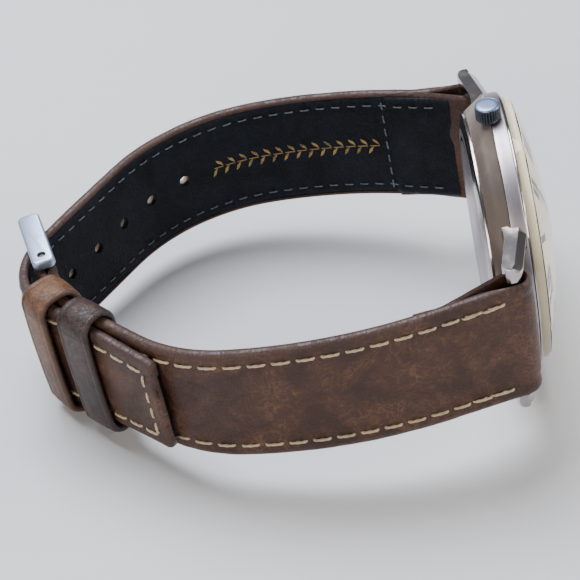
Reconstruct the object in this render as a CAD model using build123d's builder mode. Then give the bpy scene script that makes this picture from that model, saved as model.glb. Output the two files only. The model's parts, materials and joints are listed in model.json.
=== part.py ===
"""Quartz dress watch on a leather strap, buckled and standing on its 9 o'clock side.

Watch frame: x is the dial normal, y points to 6 o'clock, z points to 3 o'clock (the crown).
The whole watch leans by LEAN about y, so that the case rim and the buckle both touch the ground.
"""
from build123d import *
from math import asin, atan2, cos, degrees, radians, sin
import os

# ---- case, measured along the dial normal (h) and out from the dial axis (r) ----
CASE_R = 18.0           # outside radius of the satin band
BAND_FRONT = -0.35      # h of the band's front edge
BAND_BACK = -2.1        # h of the band's back edge
CASE_BOTTOM = -4.8      # h of the face the case back closes
CASE_BORE_R = 15.0      # bore that takes the movement holder
BACK_R = 15.9           # radius of the case back's polished rim
BACK_OUTER = -5.6       # h of the case back's flat outside face
DIAL_TOP = -0.95        # h of the printed face
DIAL_T = 0.4
DIAL_R = 16.2
CRYSTAL_R = 17.3
CRYSTAL_WALL = 1.2
CRYSTAL_EDGE = 1.1      # h where the crystal's straight wall meets the dome
CRYSTAL_TOP = 4.0       # h of the dome's summit

# ---- lugs and spring bars ----
LUG_GAP = 18.5          # between the inside faces of a pair of lugs
LUG_T = 2.05
BAR_X = -2.9
BAR_Y = 20.3
BAR_TUBE_R = 0.75
PIN_TIP_R = 0.35

# ---- crown and stem ----
STEM_H = -2.35
CROWN_R = 1.6
CROWN_START = 18.1
CROWN_END = 20.2
FLUTES = 28

# ---- strap ----
STRAP_W = 18.0          # width at the lugs
BUCKLE_W = 16.6         # width at the buckle
TIP_W = 14.2            # width at the tip
STRAP_T = 1.4
LINING_T = 0.55
LAYER_GAP = 0.05
LOOP_R = 2.1            # outside of the loop round a spring bar
LOOP_BORE_R = 0.95
HOLE_R = 0.8
HOLE_PITCH = 5.8
TANG_HOLE = 71.8        # arc length from the 6 o'clock loop to the hole the tang is in
HOLES_BEFORE_TANG = 5
HOLES_AFTER_TANG = 1

# Each strap piece follows straight runs (length, 0) and tangent arcs (radius, turn in degrees).
NEAR_START = (-4.0, -21.2)
NEAR_SLOPE = -13.5
NEAR_RUNS = [(9.5, 0), (62, 23.5), (19, 35), (12.3, 0), (12, 43)]
FAR_START = (-3.0, 18.7)
FAR_SLOPE = 20.0
FAR_RUNS = [(9.0, 0), (62, 20), (25, 53), (15.2, 0), (9.45, 82), (20, 0)]

# ---- buckle and keepers ----
BUCKLE_PIN = (-61.45, -2.0)
FRONT_BAR = (-63.45, 5.65)
FRONT_BAR_R = 0.75
ARM_W = 3.0
ARM_T = 1.4
ARM_GAP = 17.2
ARM_PAST_PIN = 1.6
ARM_PAST_BAR = 1.5
PIN_TUBE_R = 0.65
TANG_W = 1.4
TANG_T = 0.8
KEEPER_T = 0.9
FIXED_KEEPER = (-59.1, -7.7, 54.0, 3.85, 5.0)     # x, y, slope, inside depth, width
FREE_KEEPER = (-54.7, -12.7, 45.0, 3.35, 5.4)
KEEPER_INSIDE = 17.3

# ---- how the watch stands ----
HALF_BUCKLE = ARM_GAP / 2 + ARM_T
BUCKLE_REACH = -65.2
LEAN = degrees(atan2(CASE_R - HALF_BUCKLE, BAND_BACK - BUCKLE_REACH))
CENTRE_X = 30.74        # dial centre in the row frame, which is centred under the watch
CENTRE_Y = -0.19
CENTRE_Z = CASE_R * cos(radians(LEAN)) - BAND_BACK * sin(radians(LEAN))

stand = Location((CENTRE_X, CENTRE_Y, CENTRE_Z), (0, -LEAN, 0))
side_plane = Plane(stand)                                        # x dial normal, z to the crown
dial_plane = Plane(
    origin=side_plane.origin, x_dir=side_plane.z_dir, z_dir=side_plane.x_dir
)                                                                # x to 3 o'clock, y to 12 o'clock
radial_plane = Plane(
    origin=side_plane.origin, x_dir=side_plane.z_dir, z_dir=side_plane.y_dir
)                                                                # x radius, y dial normal
dial_axis = Axis(dial_plane.origin, dial_plane.z_dir)
stem_plane = Plane(
    origin=dial_plane.from_local_coords((0, 0, STEM_H)), x_dir=dial_plane.y_dir,
    z_dir=dial_plane.x_dir,
)                                                                # z along the stem, outwards
plan_plane = Plane(
    origin=side_plane.origin, x_dir=side_plane.x_dir, z_dir=side_plane.y_dir
)                                                                # x dial normal, y to 9 o'clock


def save(piece, name):
    """Label a finished piece and write it as its own node."""
    piece.label = name
    export_step(piece, f"parts/{name}.step")


def turned(points):
    """Revolve a closed (r, h) outline about the dial axis, inside the active part."""
    with BuildSketch(radial_plane) as outline:
        with BuildLine():
            Polyline(*points, close=True)
        make_face()
    revolve(outline.sketch, axis=dial_axis)


def disc(plane, radius, low, high, bore=0.0):
    """Add a round plate or tube between two heights over a plane."""
    with BuildSketch(plane.offset(low)) as outline:
        Circle(radius)
        if bore:
            Circle(bore, mode=Mode.SUBTRACT)
    extrude(outline.sketch, amount=high - low)


def hole(plane, radius, low, high):
    """Cut a round hole between two heights over a plane."""
    with BuildSketch(plane.offset(low)) as outline:
        Circle(radius)
    extrude(outline.sketch, amount=high - low, mode=Mode.SUBTRACT)


def teeth(plane, count, module, low, high):
    """Add a gear's body and its teeth between two heights over a plane."""
    root = module * (count / 2 - 1.15)
    tip = module * (count / 2 + 0.9)
    foot = 0.85 * module
    crest = 0.4 * module
    with BuildSketch(plane.offset(low)) as outline:
        Circle(root)
        with PolarLocations(0, count):
            Polygon(
                (root * 0.97, -foot), (tip, -crest), (tip, crest), (root * 0.97, foot), align=None
            )
    extrude(outline.sketch, amount=high - low)


def at(x, y):
    """The dial plane moved to a wheel's centre."""
    return Plane(
        origin=dial_plane.from_local_coords((x, y, 0)), x_dir=dial_plane.x_dir,
        z_dir=dial_plane.z_dir,
    )


def strap_line(start, slope, runs, side, shift):
    """Draw a strap's path moved out from the wrist by shift. side is 1 at 12 o'clock, else -1."""
    heading = 180 - slope
    out = heading + 90 * side
    point = (start[0] + shift * cos(radians(out)), start[1] + shift * sin(radians(out)))
    first = point
    tangent = (cos(radians(heading)), sin(radians(heading)))
    for size, turn in runs:
        if turn:
            run = JernArc(point, tangent, size + shift, -side * turn)
        else:
            end = (point[0] + size * tangent[0], point[1] + size * tangent[1])
            run = Line(point, end)
        point = tuple(run @ 1)[:2]
        tangent = tuple(run % 1)[:2]
    return first, point


def strap_band(start, slope, runs, side, inner, outer):
    """Add the face of a strap between two distances from the wrist side."""
    with BuildLine() as outline:
        a_start, a_end = strap_line(start, slope, runs, side, inner)
        b_start, b_end = strap_line(start, slope, runs, side, outer)
        Line(a_start, b_start)
        Line(a_end, b_end)
    make_face(outline.edges())


def path_point(start, slope, runs, distance):
    """Point and heading of the 6 o'clock path at an arc length."""
    x, y = start
    heading = 180 - slope
    left = distance
    for size, turn in runs:
        length = size * radians(turn) if turn else size
        step = min(left, length)
        if turn:
            swept = degrees(step / size)
            a = radians(heading)
            b = radians(heading + swept)
            x += size * (sin(b) - sin(a))
            y += size * (cos(a) - cos(b))
            heading += swept
        else:
            x += step * cos(radians(heading))
            y += step * sin(radians(heading))
        left -= step
        if left <= 0:
            break
    return x, y, heading


def lug_outline():
    """A lug seen from the crown, at 12 o'clock; it leans back towards the wrist."""
    Polygon(
        (-0.4, -12.6), (-0.5, -14.2), (-1.95, -20.6), (-2.7, -21.8), (-3.9, -21.8),
        (-4.3, -20.3), (-3.3, -15.5), (-3.6, -12.6), align=None,
    )


os.makedirs("parts", exist_ok=True)

# ================= case =================
with BuildPart() as mid_case:
    turned([
        (CASE_BORE_R, CASE_BOTTOM), (16.1, CASE_BOTTOM), (17.8, -2.4), (CASE_R, BAND_BACK),
        (CASE_R, BAND_FRONT), (17.5, BAND_FRONT), (17.5, DIAL_TOP), (16.3, DIAL_TOP),
        (16.3, DIAL_TOP - DIAL_T), (CASE_BORE_R, DIAL_TOP - DIAL_T),
    ])
    for end in (LUG_GAP / 2, -LUG_GAP / 2 - LUG_T):
        with BuildSketch(side_plane.offset(end)):
            lug_outline()
            mirror(about=Plane.XZ)
        extrude(amount=LUG_T)
    # the lug roots are cut clear of the crystal's seat, the dial's seat and the bore
    hole(dial_plane, 17.5, DIAL_TOP, 2.0)
    hole(dial_plane, 16.3, DIAL_TOP - DIAL_T, 2.0)
    hole(dial_plane, CASE_BORE_R, CASE_BOTTOM, 2.0)
    for y in (BAR_Y, -BAR_Y):
        with BuildSketch(side_plane.offset(-LUG_GAP / 2 - 1.4)):
            with Locations((BAR_X, y)):
                Circle(PIN_TIP_R + 0.03)
        extrude(amount=LUG_GAP + 2.8, mode=Mode.SUBTRACT)
    hole(stem_plane, 0.8, 14.0, CASE_R + 1)
    with BuildSketch(dial_plane.offset(CASE_BOTTOM)):
        Circle(15.6)
        Circle(15.2, mode=Mode.SUBTRACT)
    extrude(amount=0.2, mode=Mode.SUBTRACT)
save(mid_case.part, "mid_case")

with BuildPart() as bezel:
    turned([(17.5, BAND_FRONT), (17.95, BAND_FRONT), (17.8, -0.05), (17.5, -0.05)])
save(bezel.part, "bezel")

with BuildPart() as crystal:
    inner_r = CRYSTAL_R - CRYSTAL_WALL
    inner_edge = CRYSTAL_EDGE - 0.5
    inner_top = CRYSTAL_TOP - 1.1
    dome_r = (CRYSTAL_R**2 + (CRYSTAL_TOP - CRYSTAL_EDGE)**2) / (2 * (CRYSTAL_TOP - CRYSTAL_EDGE))
    under_r = (inner_r**2 + (inner_top - inner_edge)**2) / (2 * (inner_top - inner_edge))
    with BuildSketch(radial_plane):
        with BuildLine():
            Line((inner_r, DIAL_TOP), (CRYSTAL_R, DIAL_TOP))
            Line((CRYSTAL_R, DIAL_TOP), (CRYSTAL_R, CRYSTAL_EDGE))
            CenterArc((0, CRYSTAL_TOP - dome_r), dome_r, 90, -degrees(asin(CRYSTAL_R / dome_r)))
            Line((0, CRYSTAL_TOP), (0, inner_top))
            CenterArc((0, inner_top - under_r), under_r, 90, -degrees(asin(inner_r / under_r)))
            Line((inner_r, inner_edge), (inner_r, DIAL_TOP))
        make_face()
    revolve(axis=dial_axis)
save(crystal.part, "crystal")

with BuildPart() as crystal_gasket:
    disc(dial_plane, 17.5, DIAL_TOP, BAND_FRONT, CRYSTAL_R)
save(crystal_gasket.part, "crystal_gasket")

with BuildPart() as dial:
    disc(dial_plane, DIAL_R, DIAL_TOP - DIAL_T, DIAL_TOP, 0.85)
save(dial.part, "dial")

with BuildPart() as dial_feet:
    for x, y in ((5.0, 11.0), (-5.0, -11.0)):
        disc(at(x, y), 0.35, -2.55, DIAL_TOP - DIAL_T)
save(dial_feet.part, "dial_feet")

with BuildPart() as case_back:
    turned([
        (0, BACK_OUTER), (14.2, BACK_OUTER), (BACK_R, -5.2), (BACK_R, CASE_BOTTOM),
        (14.95, CASE_BOTTOM), (14.95, -4.2), (14.2, -4.2), (14.2, CASE_BOTTOM), (0, CASE_BOTTOM),
    ])
save(case_back.part, "case_back")

with BuildPart() as back_gasket:
    disc(dial_plane, 15.55, CASE_BOTTOM, CASE_BOTTOM + 0.18, 15.25)
save(back_gasket.part, "back_gasket")

with BuildPart() as crown_tube:
    disc(stem_plane, 0.8, 15.1, 19.0, 0.5)
save(crown_tube.part, "crown_tube")

with BuildPart() as movement_holder:
    turned([(13.2, -4.7), (14.1, -4.7), (14.1, -4.15), (14.95, -4.15), (14.95, -1.4), (13.2, -1.4)])
    hole(stem_plane, 0.6, 12.5, 15.2)
save(movement_holder.part, "movement_holder")

# ================= movement =================
THIRD = (0.0, -2.72)
INTERMEDIATE = (0.0, 2.88)
ROTOR = (-1.82, 3.93)
MINUTE = (-2.0, 0.0)
ARBOR_R = 0.1
TRAIN_MODULE = 0.08
CENTRE_MODULE = 2.72 / 36
SECONDS_MODULE = 0.12
SMALL_MODULE = 0.1
SCREWS = [(7.5, 6.5), (-7.5, 7.5), (4.5, -9.5)]
LEVER_PIVOT = (12.4, 2.6)
PLATE_BACK = -2.6
PLATE_FRONT = -2.0

with BuildPart() as main_plate:
    disc(dial_plane, 13.1, PLATE_BACK, PLATE_FRONT)
    hole(dial_plane, 0.4, -3, -1)
    for centre in (THIRD, INTERMEDIATE, ROTOR, MINUTE):
        hole(at(*centre), ARBOR_R + 0.03, -3, -1)
    for centre in SCREWS:
        hole(at(*centre), 0.4, -3, -1)
    for centre in ((5.0, 11.0), (-5.0, -11.0)):
        hole(at(*centre), 0.4, -3, -1)
    hole(at(*LEVER_PIVOT), 0.25, -3, -1)
    with BuildSketch(dial_plane.offset(-3)):
        with Locations((11.0, 0)):
            Rectangle(6.0, 1.8)
    extrude(amount=2, mode=Mode.SUBTRACT)
save(main_plate.part, "main_plate")

with BuildPart() as train_bridge:
    with BuildSketch(dial_plane.offset(-4.2)):
        RectangleRounded(17.0, 15.0, 3.0)
        with Locations((8.5, -4.5)):
            Rectangle(8.0, 9.0, mode=Mode.SUBTRACT)
    extrude(amount=0.25)
    for centre in ((0, 0), THIRD, INTERMEDIATE, ROTOR):
        hole(at(*centre), ARBOR_R + 0.03, -4.5, -3.5)
    for centre in SCREWS[:2]:
        hole(at(*centre), 0.36, -4.5, -3.5)
    for centre in SCREWS[:2]:
        disc(at(*centre), 0.8, -3.95, PLATE_BACK, 0.4)
save(train_bridge.part, "train_bridge")

with BuildPart() as movement_screws:
    for centre in SCREWS[:2]:
        disc(at(*centre), 0.75, -4.45, -4.2)
        disc(at(*centre), 0.35, -4.2, -2.1)
    disc(at(*SCREWS[2]), 0.75, -3.35, -3.1)
    disc(at(*SCREWS[2]), 0.35, -3.1, -2.1)
save(movement_screws.part, "movement_screws")

with BuildPart() as circuit_board:
    with BuildSketch(dial_plane.offset(-2.95)):
        with Locations((0.3, -9.6)):
            RectangleRounded(12.4, 3.0, 0.8)
        with Locations(SCREWS[2]):
            Circle(0.45, mode=Mode.SUBTRACT)
        with Locations((-5.0, -11.0)):
            Circle(0.45, mode=Mode.SUBTRACT)
    extrude(amount=0.3)
save(circuit_board.part, "circuit_board")

with BuildPart() as board_washer:
    disc(at(*SCREWS[2]), 0.7, -3.1, -2.95, 0.4)
save(board_washer.part, "board_washer")

with BuildPart() as quartz_can:
    can_plane = Plane(
        origin=dial_plane.from_local_coords((-4.5, -9.4, -3.65)), x_dir=dial_plane.y_dir,
        z_dir=dial_plane.x_dir,
    )
    disc(can_plane, 0.65, 0, 5.0)
save(quartz_can.part, "quartz_can")

with BuildPart() as battery:
    disc(at(8.6, -4.6), 3.4, -4.3, -2.75)
save(battery.part, "battery")

with BuildPart() as battery_clip:
    with BuildSketch(dial_plane.offset(-4.5)):
        with Locations((8.6, -4.6)):
            RectangleRounded(7.4, 1.6, 0.5)
    extrude(amount=0.15)
save(battery_clip.part, "battery_clip")

with BuildPart() as stator:
    with BuildSketch(dial_plane.offset(-2.95)):
        with Locations((-1.82, 5.3)):
            RectangleRounded(9.0, 4.2, 0.8)
        with Locations(ROTOR):
            Circle(0.95, mode=Mode.SUBTRACT)
        with Locations(INTERMEDIATE):
            Circle(0.4, mode=Mode.SUBTRACT)
        Circle(2.7, mode=Mode.SUBTRACT)
    extrude(amount=0.3)
save(stator.part, "stator")

with BuildPart() as coil:
    coil_plane = Plane(
        origin=dial_plane.from_local_coords((-5.0, 9.2, -3.5)), x_dir=dial_plane.y_dir,
        z_dir=dial_plane.x_dir,
    )
    disc(coil_plane, 0.8, 0, 7.0)
    disc(coil_plane, 0.45, -1.0, 8.0)
save(coil.part, "coil")

with BuildPart() as rotor:
    disc(at(*ROTOR), 0.75, -3.0, -2.7)
    teeth(at(*ROTOR), 6, SMALL_MODULE, -3.4, -3.15)
    disc(at(*ROTOR), ARBOR_R, -4.15, -2.1)
save(rotor.part, "rotor")

with BuildPart() as intermediate_wheel:
    teeth(at(*INTERMEDIATE), 36, SMALL_MODULE, -3.35, -3.2)
    teeth(at(*INTERMEDIATE), 8, SECONDS_MODULE, -3.85, -3.5)
    disc(at(*INTERMEDIATE), ARBOR_R, -4.15, -2.1)
save(intermediate_wheel.part, "intermediate_wheel")

with BuildPart() as seconds_wheel:
    teeth(dial_plane, 40, SECONDS_MODULE, -3.75, -3.6)
    teeth(dial_plane, 8, TRAIN_MODULE, -3.45, -3.1)
    disc(dial_plane, 0.15, -3.8, 0.85)
    disc(dial_plane, ARBOR_R, -4.15, -3.8)
save(seconds_wheel.part, "seconds_wheel")

with BuildPart() as third_wheel:
    teeth(at(*THIRD), 60, TRAIN_MODULE, -3.35, -3.2)
    teeth(at(*THIRD), 8, CENTRE_MODULE, -3.08, -2.78)
    disc(at(*THIRD), ARBOR_R, -4.15, -2.1)
save(third_wheel.part, "third_wheel")

with BuildPart() as centre_wheel:
    teeth(dial_plane, 64, CENTRE_MODULE, -3.0, -2.85)
    teeth(dial_plane, 10, SMALL_MODULE, -1.95, -1.75)
    disc(dial_plane, 0.33, -3.0, 0.5)
    hole(dial_plane, 0.18, -3.5, 1.0)
save(centre_wheel.part, "centre_wheel")

with BuildPart() as minute_wheel:
    teeth(at(*MINUTE), 30, SMALL_MODULE, -1.95, -1.78)
    teeth(at(*MINUTE), 8, SMALL_MODULE, -1.74, -1.48)
    disc(at(*MINUTE), ARBOR_R, -2.5, -1.4)
save(minute_wheel.part, "minute_wheel")

with BuildPart() as hour_wheel:
    teeth(dial_plane, 32, SMALL_MODULE, -1.7, -1.52)
    disc(dial_plane, 0.65, -1.7, 0.2)
    hole(dial_plane, 0.37, -2.0, 1.0)
save(hour_wheel.part, "hour_wheel")


def hand(name, length, tail, width, height, thickness, hub, bore, angle):
    """A pointed hand on its hub. angle is measured from 12 o'clock, clockwise."""
    turn = Plane(
        origin=dial_plane.from_local_coords((0, 0, height)),
        x_dir=dial_plane.y_dir.rotate(dial_axis, -angle), z_dir=dial_plane.z_dir,
    )
    with BuildPart() as piece:
        with BuildSketch(turn):
            Polygon(
                (-tail, -width * 0.4), (length * 0.75, -width / 2), (length, 0),
                (length * 0.75, width / 2), (-tail, width * 0.4), align=None,
            )
            Circle(hub)
            Circle(bore, mode=Mode.SUBTRACT)
        extrude(amount=thickness)
    save(piece.part, name)


hand("hour_hand", 8.5, 1.2, 0.9, 0.05, 0.12, 1.0, 0.65, 305.0)
hand("minute_hand", 12.8, 1.6, 0.7, 0.36, 0.12, 0.8, 0.33, 60.0)
hand("second_hand", 13.6, 3.6, 0.22, 0.7, 0.1, 0.5, 0.15, 210.0)

# ================= crown and setting work =================
with BuildPart() as crown:
    disc(stem_plane, CROWN_R - 0.12, CROWN_START, CROWN_END, 0)
    with BuildSketch(stem_plane.offset(CROWN_START + 0.1)):
        with PolarLocations(CROWN_R - 0.1, FLUTES):
            Circle(0.11)
    extrude(amount=CROWN_END - CROWN_START - 0.35)
    hole(stem_plane, 1.0, CROWN_START - 0.1, 19.3)
save(crown.part, "crown")

with BuildPart() as crown_gasket:
    disc(stem_plane, 0.99, 18.35, 18.75, 0.82)
save(crown_gasket.part, "crown_gasket")

with BuildPart() as stem:
    disc(stem_plane, 0.4, 12.15, 19.3)
    disc(stem_plane, 0.25, 11.6, 12.2)
    disc(stem_plane, 0.4, 8.6, 11.65)
save(stem.part, "stem")

with BuildPart() as sliding_pinion:
    disc(stem_plane, 0.7, 9.6, 11.2, 0.43)
save(sliding_pinion.part, "sliding_pinion")

LEVER_ARM = 2.2
LEVER_REST = 13.1
with BuildPart() as setting_lever:
    lever_dx = -LEVER_ARM * sin(radians(LEVER_REST))
    lever_dy = -LEVER_ARM * cos(radians(LEVER_REST))
    with BuildSketch(at(*LEVER_PIVOT).offset(-3.15)):
        with BuildLine():
            Line((0, 0), (lever_dx, lever_dy))
        trace(line_width=0.7)
        Circle(0.5)
        with Locations((lever_dx, lever_dy)):
            Circle(0.35)
    extrude(amount=0.2)
    disc(at(*LEVER_PIVOT), 0.22, -3.0, -2.05)
    disc(at(LEVER_PIVOT[0] + lever_dx, LEVER_PIVOT[1] + lever_dy), 0.12, -3.0, -2.3)
save(setting_lever.part, "setting_lever")


# ================= spring bars =================
def spring_bar(name, x, y, tube_r, half_tube, half_tip):
    """A sprung bar across the strap: a tube, its spring and two pins."""
    seat = Plane(
        origin=side_plane.from_local_coords((x, y, 0)), x_dir=side_plane.x_dir,
        z_dir=side_plane.z_dir,
    )
    bore = tube_r - 0.2
    with BuildPart() as tube:
        disc(seat, tube_r, -half_tube, half_tube, bore)
    save(tube.part, f"{name}_tube")
    with BuildPart() as spring_bar_coil:
        with BuildLine():
            wire = Helix(
                pitch=0.86, height=8.6, radius=bore - 0.14,
                center=tuple(seat.offset(-4.3).origin), direction=tuple(seat.z_dir),
            )
        with BuildSketch(Plane(origin=wire @ 0, z_dir=wire % 0)):
            Circle(0.08)
        sweep(path=wire, is_frenet=True)
    save(spring_bar_coil.part, f"{name}_spring")
    for label, sign in (("upper", 1), ("lower", -1)):
        facing = Plane(origin=seat.origin, x_dir=seat.x_dir, z_dir=seat.z_dir * sign)
        with BuildPart() as pin:
            disc(facing, bore - 0.03, 5.7, half_tube - 0.3)
            disc(facing, PIN_TIP_R, half_tube - 0.3, half_tip)
        save(pin.part, f"{name}_{label}_pin")


spring_bar("bar_12", BAR_X, -BAR_Y, BAR_TUBE_R, 8.9, LUG_GAP / 2 + 1.3)
spring_bar("bar_6", BAR_X, BAR_Y, BAR_TUBE_R, 8.9, LUG_GAP / 2 + 1.3)
spring_bar("buckle_bar", BUCKLE_PIN[0], BUCKLE_PIN[1], PIN_TUBE_R, 8.3, ARM_GAP / 2 + 1.1)

# ================= strap =================
with BuildPart() as near_taper:
    with BuildSketch(plan_plane):
        Polygon(
            (3, STRAP_W / 2), (-8, STRAP_W / 2), (-70, BUCKLE_W / 2 - 0.1),
            (-70, -BUCKLE_W / 2 + 0.1), (-8, -STRAP_W / 2), (3, -STRAP_W / 2), align=None,
        )
    extrude(amount=-45)

with BuildPart() as far_taper:
    with BuildSketch(plan_plane):
        Polygon(
            (3, STRAP_W / 2), (-8, STRAP_W / 2), (-62, BUCKLE_W / 2), (-70, BUCKLE_W / 2),
            (-70, -BUCKLE_W / 2), (-62, -BUCKLE_W / 2), (-8, -STRAP_W / 2), (3, -STRAP_W / 2),
            align=None,
        )
    extrude(amount=45)
    with BuildSketch(plan_plane):
        Polygon(
            (-46, TIP_W / 2), (-60, BUCKLE_W / 2), (-70, BUCKLE_W / 2), (-70, -BUCKLE_W / 2),
            (-60, -BUCKLE_W / 2), (-46, -TIP_W / 2), align=None,
        )
    extrude(amount=-45)


def loop_end(y, outer_start):
    """The leather turned round a spring bar, blending into the strap."""
    with Locations((BAR_X, y)):
        Circle(LOOP_R)
    Polygon(*outer_start, align=None)
    with Locations((BAR_X, y)):
        Circle(LOOP_BORE_R, mode=Mode.SUBTRACT)


with BuildPart() as near_strap_outer:
    with BuildSketch(side_plane):
        strap_band(NEAR_START, NEAR_SLOPE, NEAR_RUNS, 1, LINING_T + LAYER_GAP, STRAP_T)
        with Locations(BUCKLE_PIN):
            Circle(1.3)
        loop_end(-BAR_Y, [(-2.9, -22.4), (-9.0, -23.6), (-9.0, -22.96), (-4.6, -19.1)])
        with Locations(BUCKLE_PIN):
            Circle(0.8, mode=Mode.SUBTRACT)
    extrude(amount=STRAP_W / 2, both=True)
    add(near_taper.part, mode=Mode.INTERSECT)
    with BuildSketch(side_plane):
        with Locations((BUCKLE_PIN[0], BUCKLE_PIN[1] + 0.4)):
            Rectangle(4.0, 5.0)
    extrude(amount=1.1, both=True, mode=Mode.SUBTRACT)
save(near_strap_outer.part, "near_strap_outer")

with BuildPart() as near_strap_lining:
    with BuildSketch(side_plane):
        strap_band(NEAR_START, NEAR_SLOPE, NEAR_RUNS, 1, 0, LINING_T)
        with Locations((BAR_X, -BAR_Y)):
            Rectangle(14.0, 7.0, mode=Mode.SUBTRACT)
        with Locations(BUCKLE_PIN):
            Circle(3.2, mode=Mode.SUBTRACT)
    extrude(amount=STRAP_W / 2, both=True)
    add(near_taper.part, mode=Mode.INTERSECT)
save(near_strap_lining.part, "near_strap_lining")


def punch_holes():
    """Cut the row of buckle holes through the active part; the one in use is drawn long."""
    for index in range(-HOLES_BEFORE_TANG, HOLES_AFTER_TANG + 1):
        x, y, heading = path_point(FAR_START, FAR_SLOPE, FAR_RUNS, TANG_HOLE + index * HOLE_PITCH)
        along = Vector(cos(radians(heading)), sin(radians(heading)), 0)
        across = Vector(sin(radians(heading)), -cos(radians(heading)), 0)
        punch = Plane(
            origin=side_plane.from_local_coords((x, y, 0)),
            x_dir=side_plane.from_local_coords(along) - side_plane.origin,
            z_dir=side_plane.from_local_coords(across) - side_plane.origin,
        )
        with BuildSketch(punch.offset(-1.0)) as outline:
            if index:
                Circle(HOLE_R)
            else:
                SlotOverall(4.4, 2.0)
        extrude(outline.sketch, amount=STRAP_T + 2.0, mode=Mode.SUBTRACT)


with BuildPart() as far_strap_outer:
    with BuildSketch(side_plane):
        strap_band(FAR_START, FAR_SLOPE, FAR_RUNS, -1, LINING_T + LAYER_GAP, STRAP_T)
        loop_end(BAR_Y, [(-2.9, 22.4), (-9.0, 22.3), (-9.0, 21.5), (-4.2, 18.7)])
    extrude(amount=STRAP_W / 2, both=True)
    add(far_taper.part, mode=Mode.INTERSECT)
    punch_holes()
save(far_strap_outer.part, "far_strap_outer")

with BuildPart() as far_strap_lining:
    with BuildSketch(side_plane):
        strap_band(FAR_START, FAR_SLOPE, FAR_RUNS, -1, 0, LINING_T)
        with Locations((BAR_X, BAR_Y)):
            Rectangle(14.0, 7.0, mode=Mode.SUBTRACT)
    extrude(amount=STRAP_W / 2, both=True)
    add(far_taper.part, mode=Mode.INTERSECT)
    punch_holes()
save(far_strap_lining.part, "far_strap_lining")


# ================= keepers =================
def keeper(name, place, back):
    """A leather band round both strap ends. back is its reach towards the wrist."""
    x, y, slope, depth, width = place
    along = Vector(-cos(radians(slope)), sin(radians(slope)), 0)
    out = Vector(-sin(radians(slope)), -cos(radians(slope)), 0)
    seat = Plane(
        origin=side_plane.from_local_coords((x, y, 0)),
        x_dir=side_plane.from_local_coords(out) - side_plane.origin,
        z_dir=side_plane.from_local_coords(along) - side_plane.origin,
    )
    with BuildPart() as band:
        with BuildSketch(seat.offset(-width / 2)):
            with Locations(((depth - back) / 2, 0)):
                RectangleRounded(
                    depth + back + 2 * KEEPER_T, KEEPER_INSIDE + 2 * KEEPER_T, 1.2)
                RectangleRounded(depth + back, KEEPER_INSIDE, 0.4, mode=Mode.SUBTRACT)
        extrude(amount=width)
    save(band.part, name)


keeper("fixed_keeper", FIXED_KEEPER, 0.55)
keeper("free_keeper", FREE_KEEPER, 0.15)

# ================= buckle =================
arm_x = FRONT_BAR[0] - BUCKLE_PIN[0]
arm_y = FRONT_BAR[1] - BUCKLE_PIN[1]
arm_length = (arm_x**2 + arm_y**2) ** 0.5
arm_angle = degrees(atan2(arm_y, arm_x))
arm_middle = (ARM_PAST_BAR + arm_length - ARM_PAST_PIN) / 2

with BuildPart() as buckle_frame:
    arm_dir = Vector(cos(radians(arm_angle)), sin(radians(arm_angle)), 0)
    arm_seat = Plane(
        origin=side_plane.from_local_coords((BUCKLE_PIN[0], BUCKLE_PIN[1], 0)),
        x_dir=side_plane.from_local_coords(arm_dir) - side_plane.origin, z_dir=side_plane.z_dir,
    )
    for low in (ARM_GAP / 2, -ARM_GAP / 2 - ARM_T):
        with BuildSketch(arm_seat.offset(low)):
            with Locations((arm_middle, 0)):
                RectangleRounded(arm_length + ARM_PAST_PIN + ARM_PAST_BAR, ARM_W, 0.7)
        extrude(amount=ARM_T)
    with BuildSketch(arm_seat.offset(-ARM_GAP / 2 - 0.2)):
        with Locations((arm_length, 0)):
            Circle(FRONT_BAR_R)
    extrude(amount=ARM_GAP + 0.4)
    with BuildSketch(arm_seat.offset(-ARM_GAP / 2 - ARM_T - 1)):
        Circle(PIN_TIP_R + 0.05)
    extrude(amount=ARM_GAP + 2 * ARM_T + 2, mode=Mode.SUBTRACT)
save(buckle_frame.part, "buckle_frame")

with BuildPart() as buckle_tang:
    with BuildSketch(side_plane):
        with BuildLine():
            Polyline(
                (-61.1, -1.1), (-64.55, 2.2), (-64.4, 5.9), (-65.1, 6.6), (-65.4, 1.8),
                (-62.0, -2.1), close=True,
            )
        make_face()
        with Locations(BUCKLE_PIN):
            Circle(1.05)
            Circle(PIN_TUBE_R + 0.05, mode=Mode.SUBTRACT)
    extrude(amount=TANG_W / 2, both=True)
save(buckle_tang.part, "buckle_tang")
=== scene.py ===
import bpy
import bmesh
import json
from math import atan2, cos, degrees, hypot, pi, radians, sin, sqrt
from mathutils import Matrix, Vector, noise


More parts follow.
